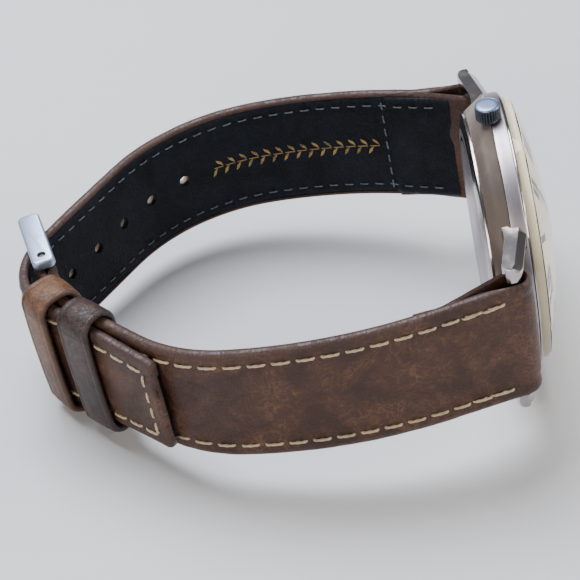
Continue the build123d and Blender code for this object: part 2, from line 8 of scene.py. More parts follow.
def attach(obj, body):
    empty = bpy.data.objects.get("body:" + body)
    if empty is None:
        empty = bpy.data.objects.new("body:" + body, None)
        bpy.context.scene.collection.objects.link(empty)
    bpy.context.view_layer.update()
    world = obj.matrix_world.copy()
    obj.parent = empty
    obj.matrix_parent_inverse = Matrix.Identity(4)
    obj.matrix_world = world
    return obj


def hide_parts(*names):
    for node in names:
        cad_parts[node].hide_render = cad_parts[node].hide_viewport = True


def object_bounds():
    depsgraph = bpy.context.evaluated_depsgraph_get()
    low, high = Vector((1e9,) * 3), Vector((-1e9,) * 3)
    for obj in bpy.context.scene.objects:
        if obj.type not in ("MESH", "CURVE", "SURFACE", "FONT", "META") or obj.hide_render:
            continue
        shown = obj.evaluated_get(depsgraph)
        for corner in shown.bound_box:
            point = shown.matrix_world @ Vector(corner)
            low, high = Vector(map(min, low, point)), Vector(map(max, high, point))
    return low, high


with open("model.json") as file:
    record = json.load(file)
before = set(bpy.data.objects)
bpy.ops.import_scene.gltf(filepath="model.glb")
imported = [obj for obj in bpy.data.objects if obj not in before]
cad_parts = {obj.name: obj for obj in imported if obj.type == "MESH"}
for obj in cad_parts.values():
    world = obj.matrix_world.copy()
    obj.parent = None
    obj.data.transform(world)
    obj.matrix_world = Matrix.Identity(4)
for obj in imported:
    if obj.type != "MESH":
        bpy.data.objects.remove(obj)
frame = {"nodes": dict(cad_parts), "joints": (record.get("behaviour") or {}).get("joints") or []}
cad_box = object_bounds()

bl_info = {
    "name": "Dress Watch on a Leather Strap",
    "version": (1, 0, 0),
    "blender": (4, 5, 0),
    "location": "View3D > Sidebar > Watch",
    "description": "Builds the leather, case, dial and buckle of a buckled dress watch",
    "category": "Add Mesh",
}

# ---- units and the watch's own frame ----
MM = 0.001
SECONDS_PIVOT_H = -3.7      # height of the seconds wheel's pivot along the dial normal
joints = {joint["name"]: joint for joint in frame["joints"]}
DIAL_NORMAL = -Vector(joints["second_hand_turn"]["axis"]).normalized()
CROWN_WAY = Vector(joints["crown_pull"]["axis"]).normalized()
SIX_WAY = CROWN_WAY.cross(DIAL_NORMAL)
CENTRE = Vector(joints["second_hand_turn"]["pos_m"]) - DIAL_NORMAL * SECONDS_PIVOT_H * MM

# ---- case ----
CASE_R = 18.0
BAND_FRONT = -0.35
CASE_BOTTOM = -4.8
BACK_FACE = -5.6
DIAL_TOP = -0.95
DIAL_R = 16.2
CRYSTAL_R = 17.3
CRYSTAL_EDGE = 1.1
CRYSTAL_TOP = 4.0
LUG_NEAR = 9.25
LUG_FAR = 11.3
LUG_FACET = 0.8
SLICES = (0.0, 0.6, 1.25, 1.6, 2.05)     # steps across a lug, from its inside face
STEM_H = -2.35
CROWN_R = 1.6
CROWN_START = 18.1
CROWN_END = 20.2
FLUTES = 28

# ---- strap ----
HIDE_T = 1.4
SHEET_T = 0.8
LINING_T = 0.5
BAR_12 = (-2.9, -20.3)
BAR_6 = (-2.9, 20.3)
BUCKLE_PIN = (-61.45, -2.0)
FRONT_BAR = (-63.45, 5.65)
SEAM_AT = 12.2
HOLE_PITCH = 5.8
TANG_HOLE = 71.8
HOLE_R = 0.8
NEAR = {
    "start": (-4.0, -21.2), "slope": -13.5, "side": 1,
    "runs": [(9.5, 0), (62, 23.5), (19, 35), (12.3, 0), (12, 43)],
}
FAR = {
    "start": (-3.0, 18.7), "slope": 20.0, "side": -1,
    "runs": [(9.0, 0), (62, 20), (25, 53), (15.2, 0), (9.45, 82), (20, 0)],
}
FIXED_KEEPER = {"x": -59.1, "y": -7.7, "slope": 54.0, "depth": 3.85, "back": 0.55, "width": 5.0}
FREE_KEEPER = {"x": -54.7, "y": -12.7, "slope": 45.0, "depth": 3.35, "back": 0.15, "width": 5.4}
KEEPER_INSIDE = 17.3
KEEPER_T = 0.9


def place(x, y, z):
    """A point of the watch frame, in millimetres, as a point of the shared frame in metres."""
    return CENTRE + (DIAL_NORMAL * x + SIX_WAY * y + CROWN_WAY * z) * MM


def on_dial(r, angle, h):
    """A point at a radius and a clockwise angle from 12 o'clock, h above the dial plane."""
    return place(h, -r * cos(radians(angle)), r * sin(radians(angle)))


def blend_between(low, high, value):
    """0 below low, 1 above high, and a smooth step between."""
    part = min(1.0, max(0.0, (value - low) / (high - low)))
    return part * part * (3 - 2 * part)


def mix(a, b, part):
    return a + (b - a) * part


# ================= meshes =================
def soften(piece, sharp):
    """Smooth shading with a crease wherever faces meet at more than sharp degrees."""
    piece.data.shade_smooth()
    piece.data.set_sharp_from_angle(angle=radians(sharp))


def face_outwards(mesh):
    """Turn every face of a mesh to face out."""
    work = bmesh.new()
    work.from_mesh(mesh)
    bmesh.ops.recalc_face_normals(work, faces=work.faces)
    work.to_mesh(mesh)
    work.free()


class Shape:
    """Collects the vertices, faces, texture places and edge marks of one piece."""

    def __init__(self):
        self.points = []
        self.faces = []
        self.uvs = []
        self.marks = []
        self.slots = []

    def point(self, where, uv=(0.0, 0.0), mark=0.0):
        self.points.append(where)
        self.uvs.append(uv)
        self.marks.append(mark)
        return len(self.points) - 1

    def face(self, *corners, slot=0):
        self.faces.append(corners)
        self.slots.append(slot)

    def tube(self, rings, closed_round=True, looped=False, caps=True, slots=None):
        """Join rings of point numbers into a tube, a closed ring or a strip."""
        count = len(rings[0])
        last = len(rings) if looped else len(rings) - 1
        across = count if closed_round else count - 1
        for index in range(last):
            a = rings[index]
            b = rings[(index + 1) % len(rings)]
            for k in range(across):
                m = (k + 1) % count
                self.face(a[k], a[m], b[m], b[k], slot=slots[k] if slots else 0)
        if caps and not looped and closed_round:
            self.face(*reversed(rings[0]))
            self.face(*rings[-1])

    def prism(self, outline, low, high, put):
        """A flat plate with this outline between two heights; put maps (x, y, h) to a point."""
        bottom = [self.point(put(x, y, low), (x * 0.01, y * 0.01)) for x, y in outline]
        top = [self.point(put(x, y, high), (x * 0.01, y * 0.01)) for x, y in outline]
        self.tube([bottom, top])

    def finish(self, name, body, slot, materials, replaces=(), sharp=35.0):
        """Make the object, give it its finish and let it ride on its body."""
        mesh = bpy.data.meshes.new(name)
        mesh.from_pydata([tuple(p) for p in self.points], [], self.faces)
        layer = mesh.uv_layers.new(name="surface")
        for loop in mesh.loops:
            layer.data[loop.index].uv = self.uvs[loop.vertex_index]
        edge = mesh.attributes.new("edge", "FLOAT", "POINT")
        edge.data.foreach_set("value", self.marks)
        for material in materials:
            mesh.materials.append(material)
        mesh.polygons.foreach_set("material_index", self.slots)
        face_outwards(mesh)
        piece = bpy.data.objects.new(name, mesh)
        soften(piece, sharp)
        bpy.context.scene.collection.objects.link(piece)
        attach(piece, body)
        if replaces:
            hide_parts(*replaces)
        return piece


def apply_modifiers(piece):
    """Bake the piece's modifiers into its mesh."""
    bpy.context.view_layer.update()
    depsgraph = bpy.context.evaluated_depsgraph_get()
    mesh = bpy.data.meshes.new_from_object(piece.evaluated_get(depsgraph))
    piece.modifiers.clear()
    piece.data = mesh


def bevel(piece, width, segments=2, angle=30.0):
    """Round or chamfer a piece's sharp edges by width millimetres."""
    change = piece.modifiers.new("bevel", "BEVEL")
    change.width = width * MM
    change.segments = segments
    change.limit_method = "ANGLE"
    change.angle_limit = radians(angle)
    change.harden_normals = True
    apply_modifiers(piece)


def cut(piece, cutter, folded=False):
    """Cut the cutter's shape out of a piece, and delete the cutter. A folded piece meets itself."""
    change = piece.modifiers.new("cut", "BOOLEAN")
    change.operation = "DIFFERENCE"
    change.solver = "EXACT"
    change.use_self = folded
    change.object = cutter
    apply_modifiers(piece)
    bpy.data.objects.remove(cutter)


def loose(shape, name):
    """A helper object, not part of the watch, used only as a cutter."""
    mesh = bpy.data.meshes.new(name)
    mesh.from_pydata([tuple(p) for p in shape.points], [], shape.faces)
    face_outwards(mesh)
    helper = bpy.data.objects.new(name, mesh)
    bpy.context.scene.collection.objects.link(helper)
    return helper


def turned(shape, profile, put, steps=256, wobble=None, slots=None, closed=False):
    """Revolve (r, h) points; put maps (r, angle, h) to a point. Ends at r 0 become one point."""
    length = 0.0
    columns = []
    before = profile[0]
    for r, h in profile:
        length += hypot(r - before[0], h - before[1])
        before = (r, h)
        column = []
        if r < 1e-6:
            column = [shape.point(put(0.0, 0.0, h), (0.0, length * 0.01))] * steps
        else:
            for k in range(steps):
                a = 360.0 * k / steps
                radius = r - (wobble(a, h) if wobble else 0.0)
                uv = (radians(a) * r * 0.01, length * 0.01)
                column.append(shape.point(put(radius, a, h), uv))
        columns.append(column)
    pairs = list(zip(columns, columns[1:]))
    if closed:
        pairs.append((columns[-1], columns[0]))
    for index, (a, b) in enumerate(pairs):
        for k in range(steps):
            m = (k + 1) % steps
            corners = []
            for corner in (a[k], a[m], b[m], b[k]):
                if corner not in corners:
                    corners.append(corner)
            if len(corners) > 2:
                shape.face(*corners, slot=slots[index] if slots else 0)


def rounded_box(width, height, radius, steps=5):
    """Points of a rounded rectangle, anticlockwise, each with its outward direction."""
    result = []
    for cx, cy, start in (
        (width / 2 - radius, height / 2 - radius, 0), (radius - width / 2, height / 2 - radius, 90),
        (radius - width / 2, radius - height / 2, 180), (width / 2 - radius, radius - height / 2, 270),
    ):
        for k in range(steps + 1):
            a = radians(start + 90.0 * k / steps)
            result.append((cx + radius * cos(a), cy + radius * sin(a), cos(a), sin(a)))
    return result


# ================= strap paths =================
def path_length(route):
    return sum(size * radians(turn) if turn else size for size, turn in route["runs"])


def walk(route, distance, out=0.0):
    """Point and heading at an arc length of a strap's wrist side, moved away from the wrist."""
    x, y = route["start"]
    heading = 180 - route["slope"]
    way = -route["side"]
    left = distance
    for size, turn in route["runs"]:
        length = size * radians(turn) if turn else size
        step = min(left, length)
        if turn:
            a = radians(heading)
            heading += way * degrees(step / size)
            b = radians(heading)
            x += way * size * (sin(b) - sin(a))
            y += way * size * (cos(a) - cos(b))
        else:
            x += step * cos(radians(heading))
            y += step * sin(radians(heading))
        left -= step
        if left <= 0:
            break
    outward = radians(heading + 90 * route["side"])
    return x + out * cos(outward), y + out * sin(outward), heading


def half_width(route, x, y):
    """Half the strap's width at a point: it tapers to the buckle, and the tail tapers to its tip."""
    if route is NEAR:
        return mix(9.0, 8.2, min(1.0, max(0.0, (-8 - x) / 62)))
    if y < 0 and x > -62:
        return mix(8.3, 7.1, min(1.0, max(0.0, (x + 60) / 14)))
    return mix(9.0, 8.3, min(1.0, max(0.0, (-8 - x) / 54)))


def arc(centre, radius, start, end, step=8.0):
    """Points round a centre from one angle to another, in degrees."""
    count = max(2, int(abs(end - start) / step))
    turn = (end - start) / count
    return [
        (centre[0] + radius * cos(radians(start + turn * k)),
         centre[1] + radius * sin(radians(start + turn * k)))
        for k in range(count + 1)
    ]


def even(points, step, smooth=0):
    """The polyline resampled at an even step, with its corners eased by repeated averaging."""
    lengths = [0.0]
    for a, b in zip(points, points[1:]):
        lengths.append(lengths[-1] + hypot(b[0] - a[0], b[1] - a[1]))
    count = int(lengths[-1] / step)
    result = []
    index = 0
    for k in range(count + 1):
        goal = lengths[-1] * k / count
        while index < len(points) - 2 and lengths[index + 1] < goal:
            index += 1
        span = max(1e-9, lengths[index + 1] - lengths[index])
        part = (goal - lengths[index]) / span
        a, b = points[index], points[index + 1]
        result.append((mix(a[0], b[0], part), mix(a[1], b[1], part)))
    for _ in range(smooth):
        inner = [
            ((a[0] + b[0] + c[0]) / 3, (a[1] + b[1] + c[1]) / 3)
            for a, b, c in zip(result, result[1:], result[2:])
        ]
        result = [result[0]] + inner + [result[-1]]
    return result


def normals(points, side):
    """Unit normals of a polyline, on its left for side 1 and on its right for side -1."""
    result = []
    for k in range(len(points)):
        a = points[max(0, k - 1)]
        b = points[min(len(points) - 1, k + 1)]
        dx, dy = b[0] - a[0], b[1] - a[1]
        size = hypot(dx, dy)
        result.append((-dy / size * side, dx / size * side))
    return result


def hide_line(route):
    """The outer surface of a strap's leather, from its turned-in end at the bar onwards."""
    total = path_length(route)
    if route is NEAR:
        line = [walk(route, s * 0.5)[:2] for s in range(24, 17, -1)]
        line += arc(BAR_12, 2.05, 118, -76.5)
        line += [walk(route, s * 0.5, HIDE_T)[:2] for s in range(1, int(total * 2) - 4)]
        line += arc(BUCKLE_PIN, 1.52, 178, -20)
        line += [walk(route, total - s * 0.5)[:2] for s in range(3, 17)]
    else:
        line = [walk(route, s * 0.5)[:2] for s in range(24, 13, -1)]
        line += arc(BAR_6, 2.1, -115, 90)
        line += [(-6.0, 22.42)]
        line += [walk(route, s * 0.5, HIDE_T)[:2] for s in range(17, int(total * 2) + 1)]
        line += [walk(route, total, HIDE_T)[:2]]
    return even(line, 0.45, smooth=2)


def hide_section(half, thick, lip):
    """Outline of a strap's leather: crowned outside, rolled edges and a recess for the lining."""
    deep = thick + lip
    right = [
        (half * 0.25, -0.13), (half * 0.5, -0.09), (half - 3.2, -0.03), (half - 2.45, 0.03),
        (half - 2.0, 0.13), (half - 1.55, 0.03), (half - 1.0, 0.0), (half - 0.55, 0.06),
        (half - 0.26, 0.18), (half - 0.07, 0.38), (half, 0.5 * deep + 0.06),
        (half - 0.06, deep - 0.3), (half - 0.2, deep - 0.1), (half - 0.42, deep),
        (half - 0.62, deep - 0.04), (half - 0.7, thick), (half * 0.5, thick),
    ]
    left = [(-v, d) for v, d in reversed(right)]
    return [(0.0, -0.14)] + right + [(0.0, thick)] + left


def crumple(x, y, z, size, seed):
    """A smooth unevenness of about one, at a scale of size millimetres."""
    return noise.noise(Vector((x / size + seed, y / size, z / size)))


def sweep_hide(route, name, body, slot, materials, replaces):
    """The leather of one strap half."""
    line = hide_line(route)
    side = route["side"]
    outs = normals(line, side)
    shape = Shape()
    rings = []
    run = 0.0
    count = len(line)
    step = hypot(line[1][0] - line[0][0], line[1][1] - line[0][1])
    total = step * (count - 1)
    for k, ((x, y), (nx, ny)) in enumerate(zip(line, outs)):
        near_bar = k * step
        to_end = total - near_bar
        half = half_width(route, x, y)
        lip = (HIDE_T - SHEET_T) * blend_between(20, 25, near_bar)
        thick = mix(0.3, SHEET_T, blend_between(0, 5, near_bar))
        if route is NEAR:
            lip *= blend_between(9, 14, to_end)
            thick = min(thick, mix(0.45, SHEET_T, blend_between(13, 17, to_end)))
        else:
            tip = max(0.0, 1.3 - to_end)
            half -= 1.3 - sqrt(max(0.0, 1.3 * 1.3 - tip * tip))
        ring = []
        for v, d in hide_section(half, thick, lip):
            wave = 0.07 * crumple(x, y, v, 5.0, 3.0) + 0.04 * crumple(x, y, v, 1.7, 9.0)
            d -= wave * (1.0 if d < thick * 0.9 else 0.0)
            if route is FAR:
                d = mix(thick * 0.5 + lip * 0.4, d, sqrt(min(1.0, 0.25 + to_end / 0.5)))
            mark = blend_between(half - 1.0, half - 0.2, abs(v))
            ring.append(shape.point(place(x - nx * d, y - ny * d, v), (run * 0.01, v * 0.01), mark))
        rings.append(ring)
        run += step
    shape.tube(rings)
    return shape.finish(name, body, slot, materials, replaces, sharp=60.0)


def lining_rise(s):
    """How far the lining stands off the wrist side where leather is turned in under it."""
    return 0.42 * (1 - blend_between(SEAM_AT - 0.5, SEAM_AT + 0.5, s))


def sweep_lining(route, name, start, end, slot, materials, replaces):
    """The lining glued into a strap half's recess."""
    shape = Shape()
    rings = []
    count = int((end - start) / 0.45)
    for k in range(count + 1):
        s = mix(start, end, k / count)
        rise = lining_rise(s)
        half = half_width(route, *walk(route, s)[:2]) - 0.62
        tip = max(0.0, 1.0 - (end - s))
        half -= 1.0 - sqrt(max(0.0, 1.0 - tip * tip))
        ring = []
        section = [
            (-half, 0.3), (-half + 0.1, 0.12), (-half + 0.35, 0.02), (-half + 0.9, 0.0),
            (-half + 1.38, 0.07), (-half + 1.9, 0.0), (-half * 0.6, -0.02), (-half * 0.3, -0.03),
        ]
        section += [(0.0, -0.03)] + [(-v, t) for v, t in reversed(section)]
        section += [(half - 0.05, LINING_T), (-half + 0.05, LINING_T)]
        for v, t in section:
            dent = 0.06 * crumple(s, v * 0.45, 0.0, 2.1, 5.0) + 0.05 * crumple(s, v, 1.0, 6.0, 1.0)
            out = t - rise + (dent if t < 0.2 else 0.0)
            x, y, _ = walk(route, s, out)
            mark = blend_between(half - 0.8, half - 0.1, abs(v))
            ring.append(shape.point(place(x, y, v), (s * 0.01, v * 0.01), mark))
        rings.append(ring)
    shape.tube(rings)
    return shape.finish(name, "watch", slot, materials, replaces, sharp=60.0)


def punch(shape, route, s, radius, slot_length, low, high, steps=28):
    """A round or long plug through a strap at an arc length, between two depths."""
    rings = []
    for out in (low, high):
        ring = []
        for k in range(steps):
            a = 2 * pi * k / steps
            along = radius * cos(a)
            along += (slot_length / 2 - radius) * (1 if cos(a) > 0 else -1) if slot_length else 0.0
            x, y, heading = walk(route, s, out)
            x += along * cos(radians(heading))
            y += along * sin(radians(heading))
            ring.append(shape.point(place(x, y, radius * sin(a))))
        rings.append(ring)
    shape.tube(rings)


def hole_places():
    """Arc length, radius and slot length of each buckle hole."""
    for index in range(-5, 2):
        s = TANG_HOLE + index * HOLE_PITCH
        if index:
            yield s, HOLE_R, 0.0
        else:
            yield s, 1.0, 4.4


# ================= thread =================
def stitch(shape, path, radius, plies=2, steps=16, sides=10):
    """One stitch: a twisted thread along a curve, path(part) giving a point and two directions."""
    rings = []
    length = (path(1.0)[0] - path(0.0)[0]).length / MM
    for k in range(steps + 1):
        part = k / steps
        where, across, up = path(part)
        ring = []
        for m in range(sides):
            a = 2 * pi * m / sides
            ply = 1 - 0.14 * cos(plies * (a - 2 * pi * part * length / 1.9))
            r = radius * ply * MM
            point = where + across * (r * cos(a)) + up * (r * sin(a))
            ring.append(shape.point(point, (part * length * 0.01, a * 0.001)))
        rings.append(ring)
    shape.tube(rings)


def stitch_row(shape, spot, start, end, pitch, length, radius, lift):
    """Stitches along a row; spot(distance, out) gives a point and the direction out of the hide."""
    count = max(1, int(round((end - start) / pitch)))
    pitch = (end - start) / count
    length = min(length, pitch - 0.5)
    for k in range(count):
        first = start + k * pitch + (pitch - length) / 2
        tilt = 0.05 * sin(k * 12.9)

        def path(part):
            s = first + length * part
            dip = lift * (1 - (2 * part - 1) ** 6) - 0.3 * (2 * part - 1) ** 6
            where, up, across = spot(s, dip, tilt * (2 * part - 1))
            return where, across, up

        stitch(shape, path, radius)


def hide_face(s):
    """Where outside stitches sit, measured out from the wrist side."""
    return HIDE_T - 0.1


def lining_face(s):
    """Where the bobbin stitches sit, measured out from the wrist side."""
    return 0.02 - lining_rise(s)


def row_on(route, inset, sign, surface, inward=1):
    """A stitching row inset from a strap's edge, on the surface at a distance from the wrist."""

    def spot(s, dip, sway):
        x, y, heading = walk(route, s, surface(s) + dip * inward)
        v = sign * (half_width(route, x, y) - inset) + sway
        out = radians(heading + 90 * route["side"])
        up = (DIAL_NORMAL * cos(out) + SIX_WAY * sin(out)) * inward
        return place(x, y, v), up, CROWN_WAY

    return spot


def row_across(route, s, surface, inward=1):
    """A stitching row straight across a strap at an arc length."""

    def spot(v, dip, sway):
        x, y, heading = walk(route, s + sway, surface(s) + dip * inward)
        out = radians(heading + 90 * route["side"])
        up = (DIAL_NORMAL * cos(out) + SIX_WAY * sin(out)) * inward
        way = radians(heading)
        return place(x, y, v), up, DIAL_NORMAL * cos(way) + SIX_WAY * sin(way)

    return spot


# ================= shader helpers =================
def add(tree, kind, **values):
    """Add a node; a value names one of its inputs, or else one of its settings."""
    made = tree.nodes.new(kind)
    for key, value in values.items():
        name = key.replace("_", " ")
        if name in made.inputs:
            made.inputs[name].default_value = value
        else:
            setattr(made, key, value)
    return made


def link(tree, source, target):
    tree.links.new(source, target)


def math_node(tree, operation, a, b=0.0, clamp=False):
    """A math node fed by sockets or numbers; returns its output."""
    made = tree.nodes.new("ShaderNodeMath")
    made.operation = operation
    made.use_clamp = clamp
    for index, value in enumerate((a, b)):
        if isinstance(value, (int, float)):
            made.inputs[index].default_value = value
        else:
            tree.links.new(value, made.inputs[index])
    return made.outputs[0]


def colour_mix(tree, part, a, b, kind="MIX"):
    """A colour mix fed by sockets or colours; returns its output."""
    made = tree.nodes.new("ShaderNodeMix")
    made.data_type = "RGBA"
    made.blend_type = kind
    for socket, value in ((made.inputs[0], part), (made.inputs[6], a), (made.inputs[7], b)):
        if isinstance(value, (int, float)):
            socket.default_value = value
        elif isinstance(value, tuple):
            socket.default_value = (*value, 1.0)
        else:
            tree.links.new(value, socket)
    return made.outputs[2]


def ramp(tree, source, stops):
    """A grey ramp through (place, value) stops; returns its output."""
    made = tree.nodes.new("ShaderNodeMapRange")
    made.interpolation_type = "SMOOTHSTEP"
    (low, a), (high, b) = stops
    made.inputs["From Min"].default_value = low
    made.inputs["From Max"].default_value = high
    made.inputs["To Min"].default_value = a
    made.inputs["To Max"].default_value = b
    link(tree, source, made.inputs["Value"])
    return made.outputs["Result"]


def new_group(name, inputs, outputs):
    """An empty node group with named sockets; returns its tree, input node and output node."""
    tree = bpy.data.node_groups.new(name, "ShaderNodeTree")
    for label, kind, default in inputs:
        socket = tree.interface.new_socket(label, in_out="INPUT", socket_type=kind)
        socket.default_value = default
    for label, kind in outputs:
        tree.interface.new_socket(label, in_out="OUTPUT", socket_type=kind)
    return tree, tree.nodes.new("NodeGroupInput"), tree.nodes.new("NodeGroupOutput")


FLOAT = "NodeSocketFloat"
COLOUR = "NodeSocketColor"
groups = {}


def leather_group():
    """Hide: marbled colour, pebbled grain, fine pores and creases, from the surface's own map."""
    if "leather" in groups:
        return groups["leather"]
    tree, source, result = new_group(
        "Leather hide",
        [
            ("Dark", COLOUR, (0.03, 0.012, 0.007, 1)), ("Mid", COLOUR, (0.08, 0.03, 0.015, 1)),
            ("Light", COLOUR, (0.25, 0.12, 0.06, 1)), ("Edge", COLOUR, (0.03, 0.015, 0.01, 1)),
            ("Marbling", FLOAT, 0.5), ("Grain", FLOAT, 1.0), ("Crosswise", FLOAT, 1.0),
        ],
        [("Color", COLOUR), ("Roughness", FLOAT), ("Height", FLOAT)],
    )
    place_in = add(tree, "ShaderNodeUVMap", uv_map="surface")
    scaled = add(tree, "ShaderNodeVectorMath", operation="SCALE", Scale=100.0)
    link(tree, place_in.outputs[0], scaled.inputs[0])
    stretch = add(tree, "ShaderNodeCombineXYZ", Y=1.0, Z=1.0)
    link(tree, source.outputs["Crosswise"], stretch.inputs["X"])
    flow = add(tree, "ShaderNodeVectorMath", operation="MULTIPLY")
    link(tree, scaled.outputs[0], flow.inputs[0])
    link(tree, stretch.outputs[0], flow.inputs[1])
    cloud = add(tree, "ShaderNodeTexNoise", Scale=0.16, Detail=6.0, Roughness=0.62, Distortion=0.6)
    link(tree, scaled.outputs[0], cloud.inputs["Vector"])
    veins = add(tree, "ShaderNodeTexNoise", Scale=0.34, Detail=7.0, Roughness=0.68, Distortion=1.6)
    link(tree, flow.outputs[0], veins.inputs["Vector"])
    vein_line = math_node(tree, "ABSOLUTE", math_node(tree, "SUBTRACT", veins.outputs["Fac"], 0.5))
    vein = ramp(tree, vein_line, [(0.0, 1.0), (0.045, 0.0)])
    pebbles = add(tree, "ShaderNodeTexVoronoi", feature="DISTANCE_TO_EDGE", Scale=1.5)
    bent = add(tree, "ShaderNodeTexNoise", Scale=1.1, Detail=2.0)
    link(tree, flow.outputs[0], bent.inputs["Vector"])
    moved = add(tree, "ShaderNodeVectorMath", operation="ADD")
    link(tree, flow.outputs[0], moved.inputs[0])
    link(tree, bent.outputs["Color"], moved.inputs[1])
    link(tree, moved.outputs[0], pebbles.inputs["Vector"])
    pebble = ramp(tree, pebbles.outputs["Distance"], [(0.0, 0.0), (0.22, 1.0)])
    pores = add(tree, "ShaderNodeTexNoise", Scale=5.0, Detail=4.0, Roughness=0.7)
    link(tree, scaled.outputs[0], pores.inputs["Vector"])
    base = colour_mix(
        tree, ramp(tree, cloud.outputs["Fac"], [(0.35, 0.0), (0.65, 1.0)]),
        source.outputs["Dark"], source.outputs["Mid"],
    )
    marbled = math_node(tree, "MULTIPLY", vein, source.outputs["Marbling"])
    patch = ramp(tree, cloud.outputs["Fac"], [(0.4, 0.15), (0.7, 1.0)])
    marbled = math_node(tree, "MULTIPLY", marbled, patch)
    base = colour_mix(tree, marbled, base, source.outputs["Light"])
    flecks = math_node(tree, "MULTIPLY", ramp(tree, pores.outputs["Fac"], [(0.55, 0.0), (0.75, 1.0)]),
                       source.outputs["Marbling"])
    flecks = math_node(tree, "MULTIPLY", flecks, 0.5)
    base = colour_mix(tree, flecks, base, source.outputs["Light"])
    # Painted shade: the valleys between the grain's pebbles are darkened towards the dark colour.
    shaded = math_node(tree, "MULTIPLY", math_node(tree, "SUBTRACT", 1.0, pebble), 0.35)
    base = colour_mix(tree, shaded, base, source.outputs["Dark"])
    rim = add(tree, "ShaderNodeAttribute", attribute_name="edge")
    base = colour_mix(tree, math_node(tree, "MULTIPLY", rim.outputs["Fac"], 0.7), base,
                      source.outputs["Edge"])
    rough = math_node(tree, "ADD", math_node(tree, "MULTIPLY", pores.outputs["Fac"], 0.25), 0.3)
    rough = math_node(tree, "ADD", rough, math_node(tree, "MULTIPLY", vein, 0.1))
    height = math_node(tree, "ADD", math_node(tree, "MULTIPLY", pebble, 0.5),
                       math_node(tree, "MULTIPLY", pores.outputs["Fac"], 0.35))
    height = math_node(tree, "SUBTRACT", height, math_node(tree, "MULTIPLY", vein, 0.6))
    height = math_node(tree, "MULTIPLY", height, source.outputs["Grain"])
    link(tree, base, result.inputs["Color"])
    link(tree, rough, result.inputs["Roughness"])
    link(tree, height, result.inputs["Height"])
    groups["leather"] = tree
    return tree


def metal_group():
    """Metal: fine brushed lines along the surface map's first way, smudges and small scratches;
    smudges and lines carry patina on brass and copper and painted reflection on the steels.
    """
    if "metal" in groups:
        return groups["metal"]
    tree, source, result = new_group(
        "Worked metal",
        [
            ("Colour", COLOUR, (0.6, 0.6, 0.62, 1)), ("Tarnish_and_reflection", COLOUR, (0.2, 0.15, 0.12, 1)),
            ("Brushing", FLOAT, 0.5), ("Roughness", FLOAT, 0.2), ("Age", FLOAT, 0.3),
        ],
        [("Color", COLOUR), ("Roughness", FLOAT), ("Height", FLOAT)],
    )
    place_in = add(tree, "ShaderNodeUVMap", uv_map="surface")
    scaled = add(tree, "ShaderNodeVectorMath", operation="MULTIPLY")
    scaled.inputs[1].default_value = (3.0, 900.0, 1.0)
    link(tree, place_in.outputs[0], scaled.inputs[0])
    lines = add(tree, "ShaderNodeTexNoise", Scale=1.0, Detail=5.0, Roughness=0.75)
    link(tree, scaled.outputs[0], lines.inputs["Vector"])
    around = add(tree, "ShaderNodeTexCoord")
    metric = add(tree, "ShaderNodeVectorMath", operation="SCALE", Scale=1000.0)
    link(tree, around.outputs["Object"], metric.inputs[0])
    smudge = add(tree, "ShaderNodeTexNoise", Scale=0.45, Detail=6.0, Roughness=0.65)
    link(tree, metric.outputs[0], smudge.inputs["Vector"])
    pits = add(tree, "ShaderNodeTexNoise", Scale=6.0, Detail=3.0, Roughness=0.6)
    link(tree, metric.outputs[0], pits.inputs["Vector"])
    scratch = add(tree, "ShaderNodeTexVoronoi", feature="DISTANCE_TO_EDGE", Scale=0.9)
    link(tree, metric.outputs[0], scratch.inputs["Vector"])
    scored = ramp(tree, scratch.outputs["Distance"], [(0.0, 1.0), (0.012, 0.0)])
    # Smudges and brushed lines blend towards the second colour: patina on brass and copper, painted
    # reflection of brown and dark surroundings on the case, buckle and crown steels.
    patina_and_reflection_patches = math_node(tree, "MULTIPLY", ramp(tree, smudge.outputs["Fac"], [(0.48, 0.0), (0.72, 1.0)]),
                     source.outputs["Age"])
    base = colour_mix(tree, patina_and_reflection_patches, source.outputs["Colour"], source.outputs["Tarnish_and_reflection"])
    streak = math_node(tree, "MULTIPLY", lines.outputs["Fac"], source.outputs["Brushing"])
    base = colour_mix(tree, math_node(tree, "MULTIPLY", streak, 0.35), base,
                      source.outputs["Tarnish_and_reflection"])
    rough = math_node(tree, "ADD", source.outputs["Roughness"],
                      math_node(tree, "MULTIPLY", streak, 0.3))
    rough = math_node(tree, "ADD", rough, math_node(tree, "MULTIPLY", patina_and_reflection_patches, 0.25))
    rough = math_node(tree, "ADD", rough, math_node(tree, "MULTIPLY", pits.outputs["Fac"], 0.06))
    height = math_node(tree, "ADD", math_node(tree, "MULTIPLY", streak, 1.0),
                       math_node(tree, "MULTIPLY", pits.outputs["Fac"], 0.08))
    height = math_node(tree, "SUBTRACT", height,
                       math_node(tree, "MULTIPLY", math_node(tree, "MULTIPLY", scored, 0.3),
                                 source.outputs["Age"]))
    link(tree, base, result.inputs["Color"])
    link(tree, rough, result.inputs["Roughness"])
    link(tree, height, result.inputs["Height"])
    groups["metal"] = tree
    return tree


